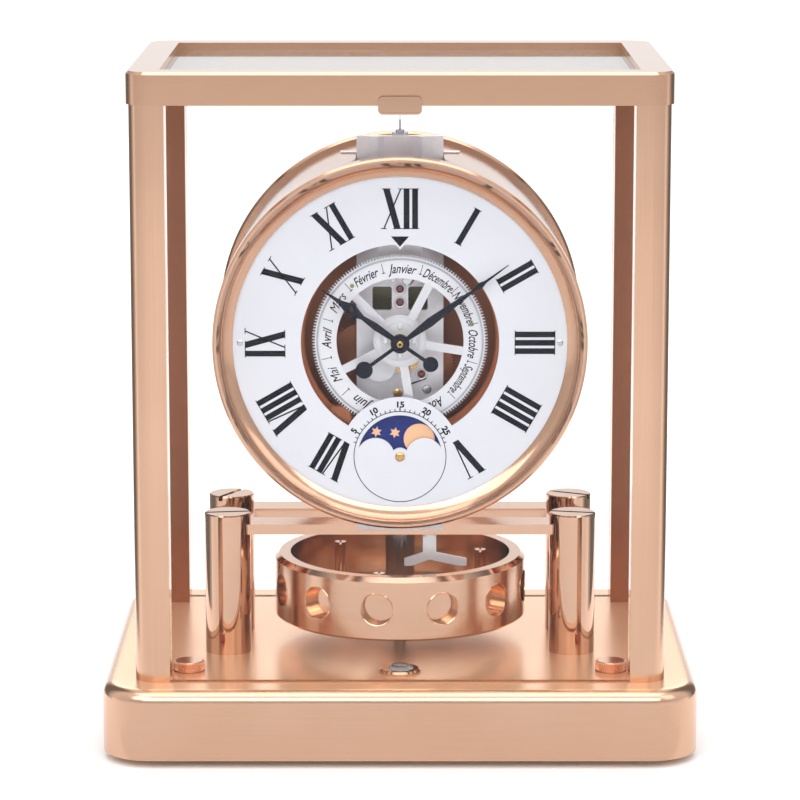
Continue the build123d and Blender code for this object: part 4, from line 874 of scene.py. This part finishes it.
    def hang_lights(self) -> None:
        """Hang the soft boxes, each turned to the clock."""
        for name, place, size, power in self.boxes:
            data = bpy.data.lights.new(name, "AREA")
            data.shape = "RECTANGLE"
            data.size, data.size_y = size
            data.energy = power
            lamp = bpy.data.objects.new(name, data)
            lamp.location = place
            lamp.rotation_euler = (Vector(self.lit_spot) - Vector(place)).to_track_quat("-Z", "Y").to_euler()
            bpy.context.scene.collection.objects.link(lamp)

    def stand_flags(self) -> None:
        """Stand a flag on each side, dark in its middle and pale at its front, back and top edges."""
        shader = Shader("dark_flag")
        parts = shader.metres()
        front, back, top = self.flag_front, self.flag_front + self.flag_deep, self.flag_high
        pale, dark = self.flag_light
        at_front, at_back, at_top = self.flag_fades
        light = shader.spread(parts[1], front, front + at_front, pale, dark)
        for way, fade, end in ((1, at_back, back), (2, at_top, top)):
            light = shader.sum("MAXIMUM", light, shader.spread(parts[way], end - fade, end, dark, pale))
        material = shader.close(shader.add("Emission", {"Strength": light}))
        for side, name in ((-self.flag_across, "left_flag"), (self.flag_across, "right_flag")):
            self.stand_for_mirrors(name, ((side, front, MM), (side, back, MM), (side, back, top),
                                          (side, front, top)), material)

    def set_camera(self) -> None:
        """Set the camera at the photograph's viewing angle."""
        data = bpy.data.cameras.new("camera")
        data.lens = self.lens
        data.sensor_width = 36.0
        data.clip_end = 60.0
        camera = bpy.data.objects.new("camera", data)
        camera.location = self.camera_place
        camera.rotation_euler = (math.radians(90 - self.camera_drop), 0, 0)
        bpy.context.scene.collection.objects.link(camera)
        bpy.context.scene.camera = camera
        bpy.context.scene.view_settings.view_transform = "Standard"


@dataclass
class Base:
    """Heavy plinth with its feet, levelling screws and round level."""

    knob_across: float = 71.7
    knob_deep: float = -45.5
    knob_ridges: int = 44
    knob_root: float = 4.95
    knob_tip: float = 5.3
    knob_low: float = 26.5
    knob_high: float = 29.3
    knob_bore: float = 4.2
    level_deep: float = -48.2

    def build(self, nodes: Nodes) -> None:
        """Dress the base and add its small fittings."""
        dress(nodes, PLINTH, "base_plinth")
        dress(nodes, BRUSHED_OVER, "base_bottom_plate")
        dress(nodes, RUBBER, "rear_foot", "left_foot_pad", "right_foot_pad")
        dress(nodes, KNURLED, "left_levelling_screw", "right_levelling_screw")
        dress(nodes, POLISHED, "spirit_level_cup")
        dress(nodes, LENS, "spirit_level_glass")
        self.knurl_knobs()
        self.mark_level()

    def knurl_knobs(self) -> None:
        """Put a knurled grip round the head of each levelling screw."""
        pitch = 2 * math.pi / self.knob_ridges
        root, tip = self.knob_root, self.knob_tip
        flanks = ((root, -0.36), (tip, -0.12), (tip, 0.12), (root, 0.36))
        outline = [(radius * math.cos((ridge + share) * pitch), radius * math.sin((ridge + share) * pitch))
                   for ridge in range(self.knob_ridges) for radius, share in flanks]
        thick = self.knob_high - self.knob_low
        for side, name in ((-1, "left"), (1, "right")):
            grip = flat_mesh([outline, circle(self.knob_bore, steps=64)], thick, 0.08)
            set_down(grip, Facing.UP, self.knob_high, thick, (side * self.knob_across, self.knob_deep))
            fit(f"{name}_knob_grip", grip, f"{name}_screw", KNURLED, 25)

    def mark_level(self) -> None:
        """Draw the level's circle on its glass."""
        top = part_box("spirit_level_glass")[1].z / MM
        ring = turned_mesh([(2.5, top - 0.02), (2.5, top + 0.03), (2.8, top + 0.03), (2.8, top - 0.02)],
                           Facing.UP, (0, self.level_deep), closed=True)
        fit("level_circle", ring, "case", INK)


@dataclass
class Cabinet:
    """Posts, lid and panes round the movement."""

    def build(self, nodes: Nodes) -> None:
        """Dress the cabinet."""
        dress(nodes, BRUSHED_UP, "post_front_left", "post_front_right")
        dress(nodes, BRUSHED_REAR_SHADED, "post_rear_left", "post_rear_right")
        dress(nodes, BRUSHED_OVER, "lid_frame")
        dress(nodes, POLISHED, "door_tab")
        dress(nodes, LID_PANE, "lid_glass")
        dress(nodes, SIDE_PANE, "left_glass", "right_glass")
        dress(nodes, WINDOW_PANE, "rear_glass", "front_glass")


@dataclass
class Bridge:
    """Four pillars with the bridge plate that carries the movement."""

    def build(self, nodes: Nodes) -> None:
        """Dress the pillars and the bridge."""
        dress(nodes, POLISHED, "pillar_front_left", "pillar_front_right", "pillar_rear_left",
              "pillar_rear_right", "pillar_cap_screws")
        dress(nodes, BRIDGE, "bridge_plate")


@dataclass
class MovementFrame:
    """Frosted plates, suspension and the fittings on the front plate."""

    plate_face: float = -22.0
    jewel_spots: tuple[Point, ...] = ((0.0, 16.4), (0.0, 11.8), (7.3, -13.0))
    jewel_ring: Loop = ((1.42, 0.02), (1.42, 0.22), (1.6, 0.3), (1.95, 0.3), (2.1, 0.16), (2.1, 0.02))
    screws: tuple[tuple[float, float, float, float], ...] = (
        (-2.4, 19.7, 1.0, 20.0), (2.9, 19.6, 2.0, 70.0), (9.2, -18.2, 1.5, 35.0))
    spring: Loop = ((3.0, -16.9), (9.0, -14.7), (9.2, -14.3), (3.1, -16.3))
    spring_thick: float = 0.4
    click_spot: Point = (-0.7, -19.6)
    click_foot: Loop = ((0, 0.5), (1.3, 0.5), (1.6, 0.3), (1.6, 0))
    fascia_half: float = 14.8
    fascia_low: float = 21.5
    fascia_high: float = 34.0
    fascia_deep: float = 3.4
    fascia_edge: float = 0.3

    def build(self, nodes: Nodes) -> None:
        """Dress the frame and add its small fittings."""
        dress(nodes, FROSTED, "movement_foot", "front_plate", "suspension_bracket")
        # The back plate wears the dull bronze as painted shade, for the frosted plate seen in shadow through
        # the front plate's windows.
        dress(nodes, BRONZE_AND_SHADE, "back_plate")
        dress(nodes, STEEL, "plate_spacers", "suspension_collar", "suspension_wire", "cross_rod")
        dress(nodes, RUBY, "jewels")
        self.set_jewels()
        self.drive_screws()
        self.fix_click()
        self.fold_fascia()

    def set_jewels(self) -> None:
        """Set a bright ring round each jewel of the front plate."""
        rings = [stud(self.plate_face, self.jewel_ring, spot, closed=True) for spot in self.jewel_spots]
        fit("jewel_settings", join(rings), "case", SILVERED)

    def drive_screws(self) -> None:
        """Put the slotted heads on the front plate."""
        heads = [screw_head(radius, self.plate_face, 0.6, turn, (across, up))
                 for across, up, radius, turn in self.screws]
        fit("plate_screw_heads", join(heads), "case", STEEL)

    def fix_click(self) -> None:
        """Fix the click spring and its round foot low on the front plate."""
        spring = flat_mesh([self.spring], self.spring_thick, 0.05)
        set_down(spring, Facing.FRONT, self.plate_face - self.spring_thick, self.spring_thick)
        fit("click_spring", spring, "case", BLUED)
        fit("click_pivot", stud(self.plate_face, self.click_foot, self.click_spot), "case", BRASS)

    def fold_fascia(self) -> None:
        """Fold the three-sided frosted cover at the top of the front plate."""
        back, edge, front = (self.plate_face - rise for rise in (0.0, self.fascia_edge, self.fascia_deep))
        half, inner = self.fascia_half, self.fascia_half / 2
        outline = [(-half, back), (half, back), (half, edge), (inner, front), (-inner, front), (-half, edge)]
        thick = self.fascia_high - self.fascia_low
        cover = set_down(flat_mesh([outline], thick, 0.12), Facing.UP, DIAL_UP + self.fascia_high, thick)
        fit("frame_fascia", cover, "case", FASCIA_PAINTED_LIGHT, 10)


@dataclass
class Drum:
    """Polished drum with its cover and the bellows that wind the clock."""

    def build(self, nodes: Nodes) -> None:
        """Dress the drum and what it holds."""
        dress(nodes, DRUM, "drum_housing")
        dress(nodes, BEZEL, "rear_cover")
        dress(nodes, STEEL, "drum_spacers", "push_plate", "bellows_spring")
        dress(nodes, BELLOWS, "bellows")


@dataclass
class Dial:
    """White dial with its bezel, numerals and the scale of the moon's age."""

    face: float = -35.0
    proud: float = 0.07
    foot_radius: float = 38.7
    tall: float = 13.7
    stem: float = 1.95
    broad: float = 2.2
    hairline: float = 0.5
    serif: float = 0.28
    serif_over: float = 0.42
    pointer: Loop = ((-3.05, 36.2), (3.05, 36.2), (0.0, 32.7))
    moon_circle: Point = (15.75, 15.5)
    tick_reach: float = 15.6
    tick: Point = (0.95, 0.15)
    long_tick: Point = (1.5, 0.21)
    number_reach: float = 17.9
    number_height: float = 2.75
    number_squeeze: float = 1.12
    number_weight: float = 0.11
    degrees_a_day: float = 6.0
    middle_day: int = 15
    screw_reach: float = 54.0
    screw_profile: Loop = ((0, 0.35), (0.8, 0.32), (1.05, 0.15), (1.05, 0))

    def build(self, nodes: Nodes) -> None:
        """Dress the dial and print on it."""
        dress(nodes, BEZEL, "bezel")
        dress(nodes, LACQUER, "dial_plate")
        self.print_numerals()
        self.print_pointer()
        self.print_moon_scale()
        self.fix_dial_screws()

    def stroke(self, top: float, foot: float, wide: float) -> Loop:
        """Return a stroke from the top to the foot of a numeral, its ends level."""
        half = wide / 2
        return [(foot - half, 0.0), (foot + half, 0.0), (top + half, self.tall), (top - half, self.tall)]

    def bar(self, start: float, end: float, at_top: bool) -> Loop:
        """Return a serif between two places across."""
        low, high = (self.tall - self.serif, self.tall) if at_top else (0.0, self.serif)
        return [(start, low), (end, low), (end, high), (start, high)]

    def strokes_of(self, numeral: str) -> list[Loop]:
        """Lay out the strokes and serifs of a numeral.

        Args:
            numeral: the numeral in capitals.

        Returns:
            Closed outlines, centred across, with the feet at height 0.
        """
        shapes: list[Loop] = []
        at, last, reach = 0.0, "", self.stem / 2 + self.serif_over
        for letter in numeral:
            if letter == "I":
                at += STEPS_TO_I[last]
                shapes += [self.stroke(at, at, self.stem), self.bar(at - reach, at + reach, True),
                           self.bar(at - reach, at + reach, False)]
            elif letter == "X":
                at += STEPS_TO_X[last]
                shapes += [self.stroke(at, at + 3.75, self.broad),
                           self.stroke(at + 4.9, at - 0.85, self.hairline),
                           self.bar(at - 1.5, at + 1.5, True), self.bar(at + 3.9, at + 5.9, True),
                           self.bar(at + 2.25, at + 5.25, False), self.bar(at - 1.85, at + 0.15, False)]
            else:
                shapes += [self.stroke(at, at + 2.75, self.broad),
                           self.stroke(at + 4.6, at + 3.3, self.hairline),
                           self.bar(at - 1.5, at + 1.5, True), self.bar(at + 3.6, at + 5.6, True)]
            last = letter
        sides = [x for shape in shapes for x, _ in shape]
        middle = (min(sides) + max(sides)) / 2
        return [[(x - middle, y) for x, y in shape] for shape in shapes]

    def print_numerals(self) -> None:
        """Print the hours, feet to the centre, all but the sixth, where the moon dial is."""
        names = ("I", "II", "III", "IIII", "V", "", "VII", "VIII", "IX", "X", "XI", "XII")
        self.print_on("dial_numerals", [
            carry(flat_mesh([shape], self.proud), self.foot_radius, 30.0 * hour)
            for hour, numeral in enumerate(names, start=1) if numeral for shape in self.strokes_of(numeral)])

    def print_on(self, name: str, meshes: Sequence[Mesh], centre: Point = (0.0, 0.0)) -> None:
        """Print flat meshes on the dial in black."""
        lay_print(name, meshes, self.face - self.proud * 0.8, self.proud, "case", INK, centre)

    def print_pointer(self) -> None:
        """Print the triangle that points at the month."""
        self.print_on("month_pointer", [flat_mesh([self.pointer], self.proud)])

    def print_moon_scale(self) -> None:
        """Print the circle, the days and the numbers round the moon window."""
        meshes = [flat_mesh([circle(radius, steps=160) for radius in self.moon_circle], self.proud)]
        for day in range(3, 28):
            long, half = self.tick if day % 5 else self.long_tick
            tick = flat_mesh([((-half, 0), (half, 0), (half, long), (-half, long))], self.proud)
            meshes.append(carry(tick, self.tick_reach, self.degrees_a_day * (day - self.middle_day)))
        for day in range(5, 26, 5):
            word = lettering(str(day), self.number_height, self.number_squeeze, 0.0, self.number_weight,
                             self.proud)
            meshes.append(carry(word, self.number_reach, self.degrees_a_day * (day - self.middle_day)))
        self.print_on("moon_scale", meshes, (0.0, MOON_UP))

    def fix_dial_screws(self) -> None:
        """Fix the two small round heads at three and nine."""
        heads = [stud(self.face, self.screw_profile, (side * self.screw_reach, 0.0), 40) for side in (-1, 1)]
        fit("dial_screws", join(heads), "case", STEEL)


@dataclass
class Calendar:
    """Month ring with its printed names."""

    face: float = -31.8
    proud: float = 0.06
    band: Point = (27.1, 21.6)
    grey_circle: Point = (28.4, 27.7)
    name_radius: float = 24.7
    name_height: float = 4.5
    name_slant: float = 0.35
    name_weight: float = 0.05
    lead: float = 1.6
    mark: Loop = ((-0.1, -0.6), (-0.55, -0.75), (-0.55, -0.95), (0.55, -0.95), (0.55, -0.75), (0.1, -0.6),
                  (0.1, 2.5), (-0.1, 2.5))
    rivet: Loop = ((0, 0.16), (0.55, 0.14), (0.8, 0.04), (0.8, 0))
    rivet_reach: float = 24.9
    rivet_turns: tuple[float, ...] = (-40.5, 76.5, 196.0)
    names: tuple[tuple[str, float], ...] = (
        ("Janvier", 9.8), ("Février", 9.0), ("Mars", 7.2), ("Avril", 7.4), ("Mai", 5.8), ("Juin", 6.6),
        ("Juillet", 8.6), ("Août", 7.2), ("Septembre", 11.0), ("Octobre", 9.8), ("Novembre", 11.6),
        ("Décembre", 11.4))

    def build(self, nodes: Nodes) -> None:
        """Dress the ring and its pinion and add what the ring carries."""
        dress(nodes, RING_METAL, "month_ring")
        dress(nodes, COPPER, "month_pinion")
        for name, radii, finish in (("month_band", self.band, RING_WHITE),
                                    ("month_grey_circle", self.grey_circle, GREY_INK)):
            sheet = flat_mesh([circle(radius, steps=180) for radius in radii], self.proud)
            self.lay_on(name, [sheet], 0.9, finish)
        self.print_names()
        rivets = [stud(self.face, self.rivet, clockwise(turn, self.rivet_reach), 32)
                  for turn in self.rivet_turns]
        fit("month_rivets", join(rivets), "month", BRONZE_AND_SHADE)
        self.screw_hub()

    def print_names(self) -> None:
        """Print the twelve months and the mark between each two."""
        words = []
        for at, (name, wide) in enumerate(self.names):
            # A thickened capital M fills up, so the two names that start with it keep their plain strokes.
            weight = 0.0 if name.startswith("M") else self.name_weight
            word = lettering(name, self.name_height, 1.0, self.name_slant, weight, self.proud, wide)
            words.append(carry(word, self.name_radius, self.lead - 30.0 * at, True))
        words += [carry(flat_mesh([self.mark], self.proud), self.name_radius, self.lead + 15.0 + 30.0 * at)
                  for at in range(12)]
        self.lay_on("month_names", words, 1.6, INK)

    def lay_on(self, name: str, meshes: Sequence[Mesh], rise: float, finish: Finish) -> None:
        """Lay a print on the ring, its face proud by the given share of its thickness."""
        lay_print(name, meshes, self.face - self.proud * rise, self.proud, "month", finish)

    def screw_hub(self) -> None:
        """Put two bright rings and four small heads round the hub."""
        rings = [stud(self.face, ((inner, 0), (inner + 0.12, 0.14), (outer - 0.12, 0.14), (outer, 0)),
                      steps=96, closed=True) for inner, outer in ((8.2, 8.8), (6.4, 6.8))]
        fit("hub_rings", join(rings), "month", RING_METAL)
        heads = [screw_head(0.95, self.face, 0.35, 40.0 * at, clockwise(90.0 * at, 5.0)) for at in range(4)]
        fit("hub_screw_heads", join(heads), "month", STEEL)


@dataclass
class MoonPhase:
    """Blue disc with two moons and its stars."""

    face: float = -33.4
    proud: float = 0.06
    moon_radius: float = 5.25
    moon_reach: float = 8.75
    moon_turn: float = 48.0
    star_radius: float = 1.9
    star_waist: float = 0.52
    star_turn: float = 10.0
    stars: tuple[Point, ...] = ((-8.0, 8.3), (-1.7, 8.0), (8.0, -8.3), (1.7, -8.0))
    cap_foot: float = -34.95
    cap: Loop = ((0, 0.8), (0.7, 0.77), (1.3, 0.55), (1.65, 0.25), (1.65, 0))

    def build(self, nodes: Nodes) -> None:
        """Dress the disc and add its moons, stars and pivot cap."""
        dress(nodes, NIGHT, "moon_disc")
        spots = [clockwise(self.moon_turn + turn, self.moon_reach) for turn in (0.0, 180.0)]
        self.lay_on("moons", [flat_mesh([circle(self.moon_radius, spot)], self.proud) for spot in spots])
        self.lay_on("stars", [flat_mesh([self.star(spot)], self.proud) for spot in self.stars])
        fit("moon_pivot_cap", stud(self.cap_foot, self.cap, (0.0, MOON_UP)), "case", BRASS)

    def star(self, spot: Point) -> Loop:
        """Return the outline of a six-pointed star."""
        points = []
        for step in range(12):
            reach = self.star_radius * (self.star_waist if step % 2 else 1.0)
            side, up = clockwise(30.0 * step + self.star_turn, reach)
            points.append((spot[0] + side, spot[1] + up))
        return points

    def lay_on(self, name: str, meshes: Sequence[Mesh]) -> None:
        """Lay shapes on the disc as one piece."""
        lay_print(name, meshes, self.face - self.proud * 0.9, self.proud, "moon", MOONS, (0.0, MOON_UP))


@dataclass
class Hands:
    """Blued hands with the pin that holds them."""

    pin_face: float = -38.4
    ring: Loop = ((0.4, 0.3), (0.5, 0.7), (0.8, 0.7), (1.15, 0.3), (1.15, -0.4), (0.4, -0.4))
    core: Loop = ((0, 0.4), (0.4, 0.4), (0.4, 0))

    def build(self, nodes: Nodes) -> None:
        """Dress the hands and add the ring and the dark core of their pin."""
        dress(nodes, BLUED, "hour_hand", "minute_hand")
        fit("hand_pin_cap", stud(self.pin_face, self.ring, steps=40, closed=True), "minute", BRASS)
        fit("hand_pin_core", stud(self.pin_face, self.core, steps=32), "minute", INK)


@dataclass
class Train:
    """Going train, motion work and escapement."""

    def build(self, nodes: Nodes) -> None:
        """Dress the wheels."""
        dress(nodes, BRASS, "hour_wheel", "minute_wheel")
        dress(nodes, COPPER, "centre_wheel", "barrel", "intermediate_wheel")
        dress(nodes, SILVERED, "calendar_wheel")
        # The escape wheel and pallet lever wear the dark pivot steel as painted shade in their jewel holes.
        dress(nodes, PIVOT_STEEL_SHADE, "escape_wheel", "pallet_lever")


@dataclass
class Balance:
    """Heavy ring that swings on its wire."""

    outer: float = 43.8
    middle_up: float = 46.5
    hole_radius: float = 5.6
    holes: int = 12
    first: float = -70.5
    rim: float = 0.22

    def build(self, nodes: Nodes) -> None:
        """Dress the balance and put a bright rim round each hole."""
        dress(nodes, RING, "balance_ring")
        dress(nodes, STEEL, "balance_hub")
        dress(nodes, POLISHED, "balance_weights")
        fit("ring_hole_rims", join([self.rim_of(at) for at in range(self.holes)]), "balance", POLISHED)

    def rim_of(self, at: int) -> Mesh:
        """Follow the edge of one hole where it meets the ring's round face.

        Args:
            at: which hole.

        Returns:
            The rim's mesh in place, in metres.
        """
        data = bpy.data.curves.new("rim", "CURVE")
        data.dimensions = "3D"
        data.bevel_depth = self.rim
        data.bevel_resolution = 1
        turn = math.radians(self.first + 360.0 / self.holes * at)
        across, deep = math.cos(turn), math.sin(turn)
        spots = []
        for side, up in circle(self.hole_radius, steps=48):
            out = math.sqrt(self.outer * self.outer - side * side)
            spots.append((out * across - side * deep, out * deep + side * across, self.middle_up + up))
        draw(data, spots)
        mesh = mesh_of(data)
        mesh.transform(Matrix.Scale(MM, 4))
        return mesh


@dataclass
class LockingLever:
    """Forked lever that holds the balance while the clock is moved."""

    def build(self, nodes: Nodes) -> None:
        """Dress the lever."""
        dress(nodes, LEVER_STEEL_PAINTED_LIGHT, "locking_lever")


def main() -> None:
    """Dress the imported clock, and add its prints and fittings."""
    logging.basicConfig(level=logging.INFO, format="%(name)s: %(message)s")
    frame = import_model()
    cad_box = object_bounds()
    nodes = frame["nodes"]
    for part in (Base, Cabinet, Bridge, MovementFrame, Drum, Dial, Calendar, MoonPhase, Hands, Train, Balance,
                 LockingLever):
        part().build(nodes)
    Studio().build(cad_box[0][2])


if __name__ == "__main__":
    main()
